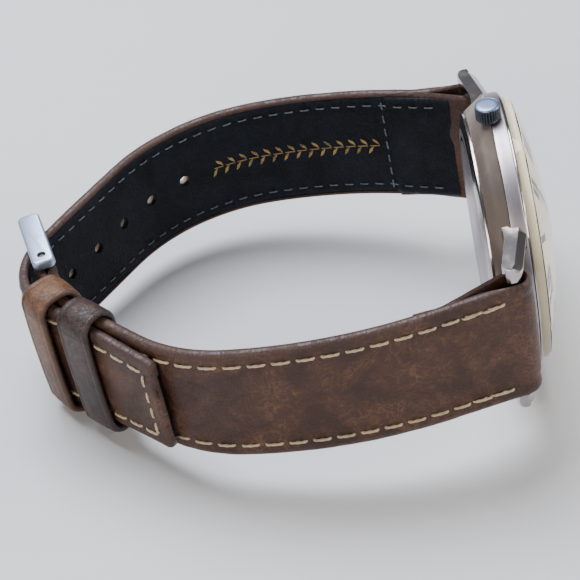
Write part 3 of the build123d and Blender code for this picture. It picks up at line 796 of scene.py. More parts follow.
def speckle_group():
    """Matt stuff such as paint, thread, rubber or moulded plastic: mottled colour and fine bump."""
    if "speckle" in groups:
        return groups["speckle"]
    tree, source, result = new_group(
        "Mottled matt",
        [
            ("Colour", COLOUR, (0.5, 0.5, 0.5, 1)), ("Stain", COLOUR, (0.3, 0.25, 0.2, 1)),
            ("Scale", FLOAT, 1.0), ("Amount", FLOAT, 0.4), ("Roughness", FLOAT, 0.5),
        ],
        [("Color", COLOUR), ("Roughness", FLOAT), ("Height", FLOAT)],
    )
    around = add(tree, "ShaderNodeTexCoord")
    metric = add(tree, "ShaderNodeVectorMath", operation="SCALE", Scale=1000.0)
    link(tree, around.outputs["Object"], metric.inputs[0])
    sized = add(tree, "ShaderNodeVectorMath", operation="SCALE")
    link(tree, metric.outputs[0], sized.inputs[0])
    link(tree, source.outputs["Scale"], sized.inputs["Scale"])
    broad = add(tree, "ShaderNodeTexNoise", Scale=0.3, Detail=6.0, Roughness=0.65)
    fine = add(tree, "ShaderNodeTexNoise", Scale=4.0, Detail=4.0, Roughness=0.7)
    link(tree, sized.outputs[0], broad.inputs["Vector"])
    link(tree, sized.outputs[0], fine.inputs["Vector"])
    mottle = ramp(tree, broad.outputs["Fac"], [(0.4, 0.0), (0.75, 1.0)])
    dots = ramp(tree, fine.outputs["Fac"], [(0.5, 0.0), (0.8, 1.0)])
    part = math_node(tree, "ADD", math_node(tree, "MULTIPLY", mottle, 0.7),
                     math_node(tree, "MULTIPLY", dots, 0.5))
    part = math_node(tree, "MULTIPLY", part, source.outputs["Amount"], clamp=True)
    base = colour_mix(tree, part, source.outputs["Colour"], source.outputs["Stain"])
    rough = math_node(tree, "ADD", source.outputs["Roughness"],
                      math_node(tree, "MULTIPLY", fine.outputs["Fac"], 0.15))
    link(tree, base, result.inputs["Color"])
    link(tree, rough, result.inputs["Roughness"])
    link(tree, fine.outputs["Fac"], result.inputs["Height"])
    groups["speckle"] = tree
    return tree


def surface(name, group, values, bump, metallic=0.0, extra=None):
    """A material whose colour, roughness and bump come from one of the groups."""
    material = bpy.data.materials.new(name)
    material.use_nodes = True
    tree = material.node_tree
    shader = tree.nodes["Principled BSDF"]
    effect = tree.nodes.new("ShaderNodeGroup")
    effect.node_tree = group
    for key, value in values.items():
        if isinstance(value, tuple):
            value = (*value, 1.0)
        effect.inputs[key].default_value = value
    link(tree, effect.outputs["Color"], shader.inputs["Base Color"])
    link(tree, effect.outputs["Roughness"], shader.inputs["Roughness"])
    raised = add(tree, "ShaderNodeBump", Strength=bump[0], Distance=bump[1] * MM)
    link(tree, effect.outputs["Height"], raised.inputs["Height"])
    link(tree, raised.outputs["Normal"], shader.inputs["Normal"])
    shader.inputs["Metallic"].default_value = metallic
    for key, value in (extra or {}).items():
        shader.inputs[key].default_value = value
    return material


def plain_rgb(colour):
    return tuple(colour)[:3]


# ================= finishes =================
def leather(name, dark, mid, light, edge, marbling, grain, crosswise=1.0, coat=0.05, shine=0.32):
    return surface(
        name, leather_group(),
        {"Dark": dark, "Mid": mid, "Light": light, "Edge": edge, "Marbling": marbling,
         "Grain": grain, "Crosswise": crosswise},
        (0.55, 0.12),
        extra={"Coat Weight": coat, "Coat Roughness": 0.35, "Specular IOR Level": shine},
    )


def metal(name, colour, tarnish_and_reflection, brushing, rough, age_and_reflection, bump=0.15, extra=None):
    return surface(
        name, metal_group(),
        {"Colour": colour, "Tarnish_and_reflection": tarnish_and_reflection, "Brushing": brushing, "Roughness": rough,
         "Age": age_and_reflection},
        (bump, 0.01), metallic=1.0, extra=extra,
    )


def matt(name, colour, stain, scale, amount, rough, bump=0.2, extra=None):
    return surface(
        name, speckle_group(),
        {"Colour": colour, "Stain": stain, "Scale": scale, "Amount": amount, "Roughness": rough},
        (bump, 0.03), extra=extra,
    )


def brown_leather():
    colours = bpy.context.scene.watch_strap
    mid = plain_rgb(colours.hide_colour)
    return leather(
        "brown leather", tuple(c * 0.5 for c in mid), mid, plain_rgb(colours.crease_colour),
        (0.06, 0.035, 0.03), 0.75, 1.0,
    )


def tan_leather():
    return leather(
        "fixed keeper leather", (0.07, 0.029, 0.012), (0.16, 0.075, 0.032), (0.33, 0.18, 0.09),
        (0.07, 0.04, 0.03), 0.7, 0.8,
    )


def grey_brown_leather():
    return leather(
        "free keeper leather", (0.022, 0.012, 0.01), (0.055, 0.03, 0.024), (0.14, 0.085, 0.065),
        (0.04, 0.028, 0.025), 0.6, 0.8,
    )


def lining_leather():
    colour = plain_rgb(bpy.context.scene.watch_strap.lining_colour)
    return leather(
        "lining leather", tuple(c * 0.5 for c in colour), colour, (0.022, 0.028, 0.038),
        (0.012, 0.016, 0.024), 0.5, 1.6, 1.6, 0.0, 0.16,
    )


def raw_leather():
    return matt("raw hole edge", (0.42, 0.34, 0.25), (0.16, 0.1, 0.06), 2.0, 0.9, 0.85, 0.6)


def thread_finish():
    colour = plain_rgb(bpy.context.scene.watch_strap.thread_colour)
    return matt(
        "waxed thread", colour, tuple(c * 0.45 for c in colour), 1.2, 0.7, 0.6, 0.5,
        {"Sheen Weight": 0.2},
    )


def bobbin_finish():
    return matt("bobbin thread", (0.12, 0.15, 0.18), (0.03, 0.036, 0.045), 1.5, 0.9, 0.6, 0.5)


def foil_finish():
    """Stamped foil, rubbed away in patches down to the dark lining."""
    return surface(
        "stamped foil", speckle_group(),
        {"Colour": (0.34, 0.22, 0.07), "Stain": (0.03, 0.028, 0.03), "Scale": 2.2, "Amount": 1.6,
         "Roughness": 0.35},
        (0.4, 0.02), metallic=0.6,
    )


# The steel's grey below is the steel's own colour with a painted warm reflection in it; the dark brown
# after it is a painted reflection of brown surroundings, blended into the case steels in smudges and
# brushed streaks.
STEEL = (0.47, 0.43, 0.42)
PAINTED_BROWN_REFLECTION = (0.16, 0.1, 0.075)


# Polished steel: its brown smudges are painted reflection of brown surroundings.
def polished_steel():
    return metal("polished steel", STEEL, PAINTED_BROWN_REFLECTION, 0.05, 0.14, 0.35, 0.1)


# The brushed band's lavender is a painted sky reflection, and its brown streaks are painted reflection
# of brown surroundings.
def satin_steel():
    return metal("satin steel", (0.5, 0.46, 0.49), PAINTED_BROWN_REFLECTION, 0.9, 0.22, 0.22, 0.3)


# The lower flank is a darker, browner copy of the steel: painted reflection of brown surroundings and
# painted shade.
def flank_steel():
    return metal("flank steel", (0.4, 0.32, 0.265), PAINTED_BROWN_REFLECTION, 0.2, 0.34, 0.6)


# The buckle's pale blue is a painted sky reflection on its steel.
def buckle_steel():
    return metal("buckle steel", (0.5, 0.58, 0.74), (0.16, 0.18, 0.22), 0.7, 0.32, 0.35, 0.3)


# The crown's near-black fluted side is painted shade on its steel.
def crown_steel():
    return metal("crown steel", (0.1, 0.115, 0.14), (0.03, 0.03, 0.04), 0.15, 0.3, 0.4, 0.15)


# The crown's blue cap end is a painted sky reflection, a lit copy of the crown steel.
def crown_face():
    return metal("crown face", (0.22, 0.29, 0.42), (0.1, 0.12, 0.16), 0.3, 0.35, 0.4, 0.2)


def spring_steel():
    return metal("spring steel", (0.13, 0.12, 0.12), (0.05, 0.045, 0.04), 0.3, 0.35, 0.4)


def cell_steel():
    return metal("cell steel", (0.62, 0.62, 0.6), (0.3, 0.28, 0.25), 0.3, 0.2, 0.2)


def brass():
    return metal("brass", (0.66, 0.48, 0.2), (0.3, 0.18, 0.07), 0.3, 0.2, 0.3)


def copper_wire():
    return metal("copper wire", (0.7, 0.32, 0.16), (0.35, 0.14, 0.08), 0.9, 0.25, 0.2, 0.6)


def movement_plastic():
    return matt("movement plastic", (0.75, 0.73, 0.68), (0.5, 0.47, 0.42), 1.0, 0.3, 0.45)


def circuit_green():
    return matt("circuit board", (0.02, 0.16, 0.07), (0.01, 0.07, 0.03), 2.0, 0.5, 0.35)


def black_rubber():
    return matt("black rubber", (0.015, 0.015, 0.015), (0.04, 0.04, 0.04), 1.5, 0.5, 0.55)


def dial_paint():
    colour = plain_rgb(bpy.context.scene.watch_case.dial_colour)
    return matt(
        "dial paint", colour, (0.5, 0.42, 0.26), 0.5, 0.35, 0.6, 0.08,
        {"Specular IOR Level": 0.1},
    )


def numeral_paint():
    return matt("numeral paint", (0.004, 0.004, 0.005), (0.012, 0.012, 0.012), 2.0, 0.4, 0.85, 0.1,
                {"Specular IOR Level": 0.0})


def hand_paint():
    return matt(
        "hand lacquer", (0.01, 0.01, 0.011), (0.04, 0.04, 0.04), 2.0, 0.3, 0.2, 0.05,
        {"Coat Weight": 0.6},
    )


def acrylic():
    """Clear acrylic with faint hairline scratches."""
    material = bpy.data.materials.new("acrylic")
    material.use_nodes = True
    tree = material.node_tree
    shader = tree.nodes["Principled BSDF"]
    shader.inputs["Base Color"].default_value = (0.99, 0.985, 0.96, 1)
    shader.inputs["Metallic"].default_value = 0.0
    shader.inputs["Transmission Weight"].default_value = 1.0
    shader.inputs["IOR"].default_value = 1.49
    effect = tree.nodes.new("ShaderNodeGroup")
    effect.node_tree = speckle_group()
    effect.inputs["Scale"].default_value = 0.6
    effect.inputs["Roughness"].default_value = 0.0
    worn = math_node(tree, "MULTIPLY", effect.outputs["Roughness"], 0.12)
    link(tree, worn, shader.inputs["Roughness"])
    return material


FINISHES = {
    "polished_steel": polished_steel, "satin_steel": satin_steel, "flank_steel": flank_steel,
    "crown_face": crown_face, "buckle_steel": buckle_steel,
    "acrylic": acrylic, "dial_cream": dial_paint, "hand_black": hand_paint, "brass": brass,
    "movement_plastic": movement_plastic, "circuit_green": circuit_green,
    "copper_wire": copper_wire, "black_rubber": black_rubber, "brown_leather": brown_leather,
    "tan_leather": tan_leather, "lining_leather": lining_leather, "cell_steel": cell_steel,
    "spring_steel": spring_steel, "crown_steel": crown_steel, "numeral": numeral_paint,
    "free_keeper": grey_brown_leather, "raw": raw_leather, "thread": thread_finish,
    "bobbin": bobbin_finish, "foil": foil_finish,
}
made_finishes = {}


def finish(name):
    """The material of a finish, made the first time it is asked for."""
    if name not in made_finishes:
        made_finishes[name] = FINISHES[name]()
    return made_finishes[name]


# ================= settings =================
def colour_property(name, description, default):
    return bpy.props.FloatVectorProperty(
        name=name, description=description, default=default, subtype="COLOR", size=3,
        min=0.0, max=1.0,
    )


class WatchStrapSettings(bpy.types.PropertyGroup):
    hide_colour: colour_property("Hide", "Colour of the strap's leather", (0.066, 0.026, 0.015))
    crease_colour: colour_property("Creases", "Colour of the hide's pale creases", (0.2, 0.1, 0.052))
    lining_colour: colour_property("Lining", "Colour of the lining leather", (0.0035, 0.006, 0.0115))
    thread_colour: colour_property("Thread", "Colour of the stitching", (0.5, 0.4, 0.25))
    stitch_pitch: bpy.props.FloatProperty(
        name="Stitch pitch", description="Distance from one stitch to the next", default=2.95 * MM,
        unit="LENGTH", precision=4,
    )
    stitch_inset: bpy.props.FloatProperty(
        name="Stitch inset", description="Distance of the stitching from the strap's edge",
        default=2.0 * MM, unit="LENGTH", precision=4,
    )


class WatchCaseSettings(bpy.types.PropertyGroup):
    dial_colour: colour_property("Dial", "Colour of the dial's paint", (0.7, 0.62, 0.44))
    numeral_height: bpy.props.FloatProperty(
        name="Numeral height", description="Height of the hour numerals", default=4.0 * MM,
        unit="LENGTH", precision=4,
    )


class WatchStageSettings(bpy.types.PropertyGroup):
    floor_colour: colour_property("Floor", "Colour of the floor", (0.62, 0.62, 0.62))
    key_power: bpy.props.FloatProperty(
        name="Key light", description="Power of the main light", default=5.0, unit="POWER",
    )


# ================= operators =================
class WatchOperator:
    """What every building step of the watch shares."""

    bl_options = {"REGISTER", "UNDO"}

    def execute(self, context):
        self.build(context)
        return {"FINISHED"}


def aim(thing, where, target):
    """Put a light at a point and turn it to face a target."""
    thing.location = where
    thing.rotation_euler = (Vector(target) - Vector(where)).to_track_quat("-Z", "Y").to_euler()


class WATCH_OT_stage(WatchOperator, bpy.types.Operator):
    """Build the floor, the studio lights and the camera"""

    bl_idname = "watch.stage"
    bl_label = "Stage"

    EYE = (-16.332, -186.463, 150.268)
    YAW = -4.456
    PITCH = 39.613
    ROLL = -12.136
    LENS = 112.775
    SHIFT = (-0.0046, 0.0021)

    def camera(self, context):
        yaw, pitch, roll = radians(self.YAW), radians(self.PITCH), radians(self.ROLL)
        ahead = Vector((sin(yaw) * cos(pitch), cos(yaw) * cos(pitch), -sin(pitch)))
        level = Vector((cos(yaw), -sin(yaw), 0.0))
        above = level.cross(ahead)
        right = level * cos(roll) + above * sin(roll)
        up = above * cos(roll) - level * sin(roll)
        camera = bpy.data.objects.new("camera", bpy.data.cameras.new("camera"))
        axes = [DIAL_NORMAL * a.x + SIX_WAY * a.y + CROWN_WAY * a.z for a in (right, up, -ahead)]
        turn = Matrix(axes).transposed().to_4x4()
        camera.matrix_world = Matrix.Translation(place(*self.EYE)) @ turn
        camera.data.lens = self.LENS
        camera.data.sensor_width = 36.0
        camera.data.shift_x, camera.data.shift_y = self.SHIFT
        camera.data.clip_start = 0.01
        context.scene.collection.objects.link(camera)
        context.scene.camera = camera

    def light(self, context, name, where, target, size, power, colour):
        lamp = bpy.data.lights.new(name, "AREA")
        lamp.shape = "RECTANGLE"
        lamp.size, lamp.size_y = size
        lamp.energy = power
        lamp.color = colour
        made = bpy.data.objects.new(name, lamp)
        aim(made, where, target)
        context.scene.collection.objects.link(made)

    def build(self, context):
        settings = context.scene.watch_stage
        low = cad_box[0]
        floor = Shape()
        reach = 3.0
        corners = [
            floor.point(Vector((x, y, low.z)))
            for x, y in ((-reach, -reach), (reach, -reach), (reach, reach), (-reach, reach))
        ]
        floor.face(*corners)
        mesh = bpy.data.meshes.new("floor")
        mesh.from_pydata([tuple(p) for p in floor.points], [], floor.faces)
        ground = bpy.data.objects.new("floor", mesh)
        colour = plain_rgb(settings.floor_colour)
        mesh.materials.append(matt("floor", colour, colour, 0.05, 0.1, 0.7, 0.02))
        context.scene.collection.objects.link(ground)
        world = bpy.data.worlds.new("studio")
        world.use_nodes = True
        back = world.node_tree.nodes["Background"]
        back.inputs["Color"].default_value = (0.8, 0.85, 0.92, 1)
        back.inputs["Strength"].default_value = 0.15
        context.scene.world = world
        power = settings.key_power
        middle = (0.0, 0.0, 0.015)
        self.light(context, "sky panel", (-0.12, 0.16, 0.42), middle, (0.35, 0.3), power,
                   (0.86, 0.9, 1.0))
        self.light(context, "front panel", (-0.2, -0.42, 0.22), middle, (0.3, 0.25),
                   power * 0.3, (1.0, 0.93, 0.86))
        self.light(context, "right panel", (0.4, -0.05, 0.2), middle, (0.25, 0.25),
                   power * 0.28, (1.0, 0.97, 0.92))
        self.camera(context)


class WATCH_OT_strap_leather(WatchOperator, bpy.types.Operator):
    """Build the leather of both strap halves, with its loops, rolled edges and buckle holes"""

    bl_idname = "watch.strap_leather"
    bl_label = "Strap Leather"

    def build(self, context):
        hide = finish("brown_leather")
        near = sweep_hide(NEAR, "strap_12_leather", "watch", "brown_leather", [hide],
                          ["near_strap_outer"])
        slot_cutter = Shape()
        x, y = BUCKLE_PIN
        slot_cutter.prism(
            [(x - 2, y - 2.1), (x + 2, y - 2.1), (x + 2, y + 2.9), (x - 2, y + 2.9)], -1.1, 1.1, place
        )
        cut(near, loose(slot_cutter, "tang slot"), folded=True)
        far = sweep_hide(FAR, "strap_6_leather", "watch", "brown_leather", [hide],
                         ["far_strap_outer"])
        cutters = Shape()
        for s, radius, slot_length in hole_places():
            punch(cutters, FAR, s, radius, slot_length, -1.0, 3.0)
        cut(far, loose(cutters, "hole punches"))


class WATCH_OT_strap_lining(WatchOperator, bpy.types.Operator):
    """Build the dark lining of both strap halves"""

    bl_idname = "watch.strap_lining"
    bl_label = "Strap Lining"

    def build(self, context):
        dark = finish("lining_leather")
        sweep_lining(NEAR, "strap_12_lining", 4.5, path_length(NEAR) - 3.2, "lining_leather",
                     [dark], ["near_strap_lining"])
        far = sweep_lining(FAR, "strap_6_lining", 3.1, path_length(FAR) - 0.7,
                           "lining_leather", [dark], ["far_strap_lining"])
        cutters = Shape()
        for s, radius, slot_length in hole_places():
            punch(cutters, FAR, s, radius, slot_length, -2.0, 2.0)
        cut(far, loose(cutters, "lining punches"))
        soften(far, 60)


class WATCH_OT_hole_walls(WatchOperator, bpy.types.Operator):
    """Build the raw, punched walls of the buckle holes"""

    bl_idname = "watch.hole_walls"
    bl_label = "Hole Walls"

    def build(self, context):
        shape = Shape()
        for s, radius, slot_length in hole_places():
            steps = 32
            rings = []
            first = len(shape.slots)
            for grow, out in ((0.04, 0.04), (-0.03, 0.02), (-0.05, 0.62), (-0.05, 1.0),
                              (-0.03, 1.36), (0.04, 1.34)):
                ring = []
                for k in range(steps):
                    a = 2 * pi * k / steps
                    r = radius + grow + 0.03 * noise.noise(Vector((s, 3 * cos(a), 3 * sin(a))))
                    along = r * cos(a)
                    if slot_length:
                        along += (slot_length / 2 - radius) * (1 if cos(a) > 0 else -1)
                    x, y, heading = walk(FAR, s, out)
                    x += along * cos(radians(heading))
                    y += along * sin(radians(heading))
                    ring.append(shape.point(place(x, y, r * sin(a))))
                rings.append(ring)
            shape.tube(rings, looped=True)
            for face in range(first, first + 2 * steps):
                shape.slots[face] = 1
        shape.finish("hole_walls", "watch", "tan_leather", [finish("raw"), finish("lining_leather")],
                     sharp=50)


class WATCH_OT_stitching(WatchOperator, bpy.types.Operator):
    """Sew both strap halves: thick thread outside, fine bobbin thread on the lining"""

    bl_idname = "watch.stitching"
    bl_label = "Stitching"

    STITCH = 2.4            # length of an outside stitch
    THREAD_R = 0.18
    BOBBIN_R = 0.1
    BACK_STITCH = 2.0
    BACK_PITCH = 2.5
    FIRST_6 = 9.0           # where the 6 o'clock stitching starts
    FIRST_12 = 0.6

    def build(self, context):
        settings = context.scene.watch_strap
        pitch = settings.stitch_pitch / MM
        inset = settings.stitch_inset / MM
        near_end = path_length(NEAR) - 3.0
        far_end = path_length(FAR) - 2.0
        for label, route, start, end in (
            ("12", NEAR, self.FIRST_12, near_end), ("6", FAR, self.FIRST_6, far_end),
        ):
            thick = Shape()
            fine = Shape()
            for sign in (1, -1):
                outer = row_on(route, inset, sign, hide_face)
                stitch_row(thick, outer, start, end, pitch, self.STITCH, self.THREAD_R, 0.13)
                stitch_row(thick, row_on(route, inset + 0.12, sign, hide_face), start + 1.2,
                           start + 6.2, self.BACK_PITCH, self.BACK_STITCH, 0.16, 0.17)
                lower = row_on(route, inset + 0.05, sign, lining_face, -1)
                last = end - 4.0 if route is NEAR else end
                stitch_row(fine, lower, 5.0, last, pitch * 0.75, 1.4, self.BOBBIN_R, 0.05)
            if route is FAR:
                tip = half_width(FAR, *walk(FAR, far_end)[:2]) - inset
                stitch_row(thick, row_across(FAR, far_end, hide_face), -tip, tip, pitch,
                           self.STITCH, self.THREAD_R, 0.22)
                wide = half_width(FAR, -14.5, 22.0) - 1.0
                stitch_row(fine, row_across(FAR, SEAM_AT + 0.7, lining_face, -1), -wide, wide, 2.2,
                           1.6, 0.12, 0.05)
            thick.finish(f"strap_{label}_stitching", "watch", "tan_leather", [finish("thread")])
            fine.finish(f"strap_{label}_bobbin", "watch", "lining_leather", [finish("bobbin")])


class WATCH_OT_foil_sprig(WatchOperator, bpy.types.Operator):
    """Stamp a gold leaf sprig on the lining"""

    bl_idname = "watch.foil_sprig"
    bl_label = "Foil Sprig"

    START = 14.0
    END = 38.5
    LEAF_PITCH = 1.75
    LEAF = 1.6

    def build(self, context):
        shape = Shape()

        def put(s, v, out):
            x, y, _ = walk(FAR, s, out)
            return place(x, y, v)

        def leaf(s, v, angle, length):
            outline = []
            for k in range(17):
                part = k / 8 - 1 if k <= 8 else 3 - k / 8 - 1
                width = 0.24 * (1 - part * part) * (1 if k <= 8 else -1)
                along = length * (part + 1) / 2
                outline.append((
                    s + along * cos(angle) - width * sin(angle),
                    v + along * sin(angle) + width * cos(angle),
                ))
            shape.prism(outline[:-1], -0.1, 0.05, put)

        count = int((self.END - self.START) / self.LEAF_PITCH)
        for k in range(count):
            s = self.START + k * self.LEAF_PITCH
            leaf(s, 0.12, radians(52), self.LEAF)
            leaf(s + self.LEAF_PITCH / 2, -0.12, radians(-52), self.LEAF)
            shape.prism(
                [(s, -0.07), (s + self.LEAF_PITCH * 0.8, -0.07), (s + self.LEAF_PITCH * 0.8, 0.07),
                 (s, 0.07)], -0.1, 0.05, put,
            )
        shape.finish("foil_sprig", "watch", "brass", [finish("foil")], sharp=80)


class WATCH_OT_keepers(WatchOperator, bpy.types.Operator):
    """Build the fixed and the sliding keeper"""

    bl_idname = "watch.keepers"
    bl_label = "Keepers"

    def band(self, name, node, body, slot, spec, material):
        slope = radians(spec["slope"])
        along = DIAL_NORMAL * -cos(slope) + SIX_WAY * sin(slope)
        out = DIAL_NORMAL * -sin(slope) + SIX_WAY * -cos(slope)
        centre = place(spec["x"], spec["y"], 0.0)
        depth = spec["depth"] + spec["back"]
        middle = (spec["depth"] - spec["back"]) / 2
        half = spec["width"] / 2
        section = [
            (-half + 0.3, 0.86), (-half + 0.05, 0.62), (-half, 0.4), (-half + 0.12, 0.14),
            (-half + 0.35, 0.0), (-half + 0.62, -0.02), (-half + 0.8, 0.06), (-half + 0.98, -0.02),
            (-half * 0.3, -0.07),
        ]
        section += [(-a, d) for a, d in reversed(section)]
        points = []
        loop = rounded_box(depth + 2 * KEEPER_T, KEEPER_INSIDE + 2 * KEEPER_T, 2.0, 7)
        shape = Shape()
        rings = []
        run = 0.0
        for index, (u, v, nu, nv) in enumerate(loop):
            after_u, after_v, after_nu, after_nv = loop[(index + 1) % len(loop)]
            gap = hypot(after_u - u, after_v - v)
            pieces = max(1, int(gap / 0.6))
            for k in range(pieces):
                part = k / pieces
                points.append((mix(u, after_u, part), mix(v, after_v, part),
                               mix(nu, after_nu, part), mix(nv, after_nv, part), run + gap * part))
            run += gap
        for u, v, nu, nv, where in points:
            ring = []
            size = hypot(nu, nv)
            nu, nv = nu / size, nv / size
            bow = 1 - (2 * u / depth) ** 2 if abs(nv) > abs(nu) else 1 - (2 * v / KEEPER_INSIDE) ** 2
            bow = max(0.0, bow)
            for a, d in section:
                wave = 0.04 * crumple(u, v, a, 2.4, half)
                deep = min(d, KEEPER_T) - (wave if d < 0.3 else 0.0)
                deep -= 0.22 * bow
                spot = centre + along * (a * MM) + out * ((middle + u - nu * deep) * MM)
                spot += CROWN_WAY * ((v - nv * deep) * MM)
                mark = blend_between(half - 0.7, half - 0.1, abs(a))
                ring.append(shape.point(spot, (a * 0.01, where * 0.01), mark))
            rings.append(ring)
        shape.tube(rings, looped=True)
        shape.finish(name, body, slot, [material], [node], sharp=60)

    def build(self, context):
        self.band("fixed_keeper_leather", "fixed_keeper", "watch", "tan_leather", FIXED_KEEPER,
                  finish("tan_leather"))
        self.band("free_keeper_leather", "free_keeper", "keeper", "brown_leather", FREE_KEEPER,
                  finish("free_keeper"))


class WATCH_OT_case(WatchOperator, bpy.types.Operator):
    """Build the case middle, its lugs, the bezel and the case back"""

    bl_idname = "watch.case"
    bl_label = "Case"

    def lugs(self, polished):
        outline = [
            (-0.5, -14.2), (-1.95, -20.6), (-2.35, -21.4), (-2.85, -21.8), (-3.5, -21.85),
            (-4.0, -21.6), (-4.3, -20.9), (-4.25, -20.0), (-3.3, -15.5),
        ]
        slices = len(SLICES)
        for label, way in (("12", 1), ("6", -1)):
            for end, sign in (("crown", 1), ("low", -1)):
                shape = Shape()
                rings = []
                for k in range(slices):
                    z = LUG_NEAR + SLICES[k]
                    root = -sqrt(17.6 ** 2 - z ** 2)
                    swell = 0.1 * sin(pi * k / (slices - 1))
                    facet = max(0.0, z - LUG_FAR + LUG_FACET)
                    ring = []
                    for x, y in [(-0.42, root)] + outline + [(-3.35, root)]:
                        x += swell - facet if x > -2.6 else -swell
                        spot = place(x, y * way, z * sign)
                        ring.append(shape.point(spot, (y * 0.01, (x + z) * 0.01)))
                    rings.append(ring)
                shape.tube(rings)
                piece = shape.finish(f"lug_{label}_{end}", "watch", "polished_steel", [polished],
                                     sharp=30)
                bevel(piece, 0.2, 3, 35)

    def build(self, context):
        polished = finish("polished_steel")
        satin = finish("satin_steel")
        profile = [
            (15.0, CASE_BOTTOM), (16.0, CASE_BOTTOM), (16.12, -4.72), (16.9, -3.62), (17.72, -2.5),
            (17.84, -2.36), (17.9, -2.3), (17.98, -2.16), (CASE_R, -2.05), (CASE_R, -1.5),
            (CASE_R, -0.95), (CASE_R, -0.48), (17.96, -0.4), (17.88, BAND_FRONT),
            (17.5, BAND_FRONT), (17.5, DIAL_TOP), (16.3, DIAL_TOP), (16.3, DIAL_TOP - 0.4),
            (15.0, DIAL_TOP - 0.4),
        ]
        # Slot 2, the lower flank, takes the flank steel, whose brown and dark are painted reflection
        # and painted shade.
        slots = [2] * 6 + [0] + [1] * 5 + [0] * 7
        body = Shape()
        turned(body, profile, on_dial, 288, slots=slots, closed=True)
        body.finish("case_middle", "watch", "satin_steel",
                    [polished, satin, finish("flank_steel")], ["mid_case"], 25)
        self.lugs(polished)
        ring = Shape()
        turned(ring, [
            (17.5, BAND_FRONT), (17.93, BAND_FRONT), (17.96, -0.25), (17.9, -0.12), (17.78, -0.05),
            (17.6, -0.04), (17.5, -0.08),
        ], on_dial, 288, closed=True)
        ring.finish("bezel_ring", "watch", "polished_steel", [polished], ["bezel"], 30)
        back = Shape()
        turned(back, [
            (0.0, BACK_FACE), (12.4, BACK_FACE), (12.55, -5.54), (12.85, -5.54), (13.0, BACK_FACE),
            (14.0, BACK_FACE), (14.25, -5.58), (15.0, -5.4), (15.7, -5.24), (15.86, -5.14),
            (15.9, -5.02), (15.9, -4.9), (15.82, CASE_BOTTOM), (14.95, CASE_BOTTOM), (14.95, -4.2),
            (14.2, -4.2), (14.2, CASE_BOTTOM), (0.0, CASE_BOTTOM),
        ], on_dial, 288, slots=[1, 0, 0, 0, 1] + [0] * 12)
        back.finish("case_back_plate", "watch", "polished_steel", [polished, satin],
                    ["case_back"], 25)


class WATCH_OT_crystal(WatchOperator, bpy.types.Operator):
    """Build the domed acrylic crystal"""

    bl_idname = "watch.crystal"
    bl_label = "Crystal"

    def build(self, context):
        rise = CRYSTAL_TOP - CRYSTAL_EDGE
        dome_r = (CRYSTAL_R ** 2 + rise ** 2) / (2 * rise)
        edge = CRYSTAL_R - 0.02
        profile = [(0.0, DIAL_TOP - 0.02), (edge, DIAL_TOP - 0.02), (edge, CRYSTAL_EDGE - 0.35)]
        for k in range(1, 6):
            a = radians(18 * k)
            profile.append((edge - 0.35 + 0.35 * cos(a), CRYSTAL_EDGE - 0.35 + 0.35 * sin(a)))
        widest = edge - 0.4
        steps = 24
        for k in range(steps + 1):
            r = widest * (1 - k / steps)
            profile.append((r, CRYSTAL_TOP - dome_r + sqrt(dome_r ** 2 - r ** 2)))
        shape = Shape()
        turned(shape, profile, on_dial, 288)
        piece = shape.finish("crystal_dome", "watch", "acrylic", [finish("acrylic")], ["crystal"],
                             40)
        piece.visible_shadow = False


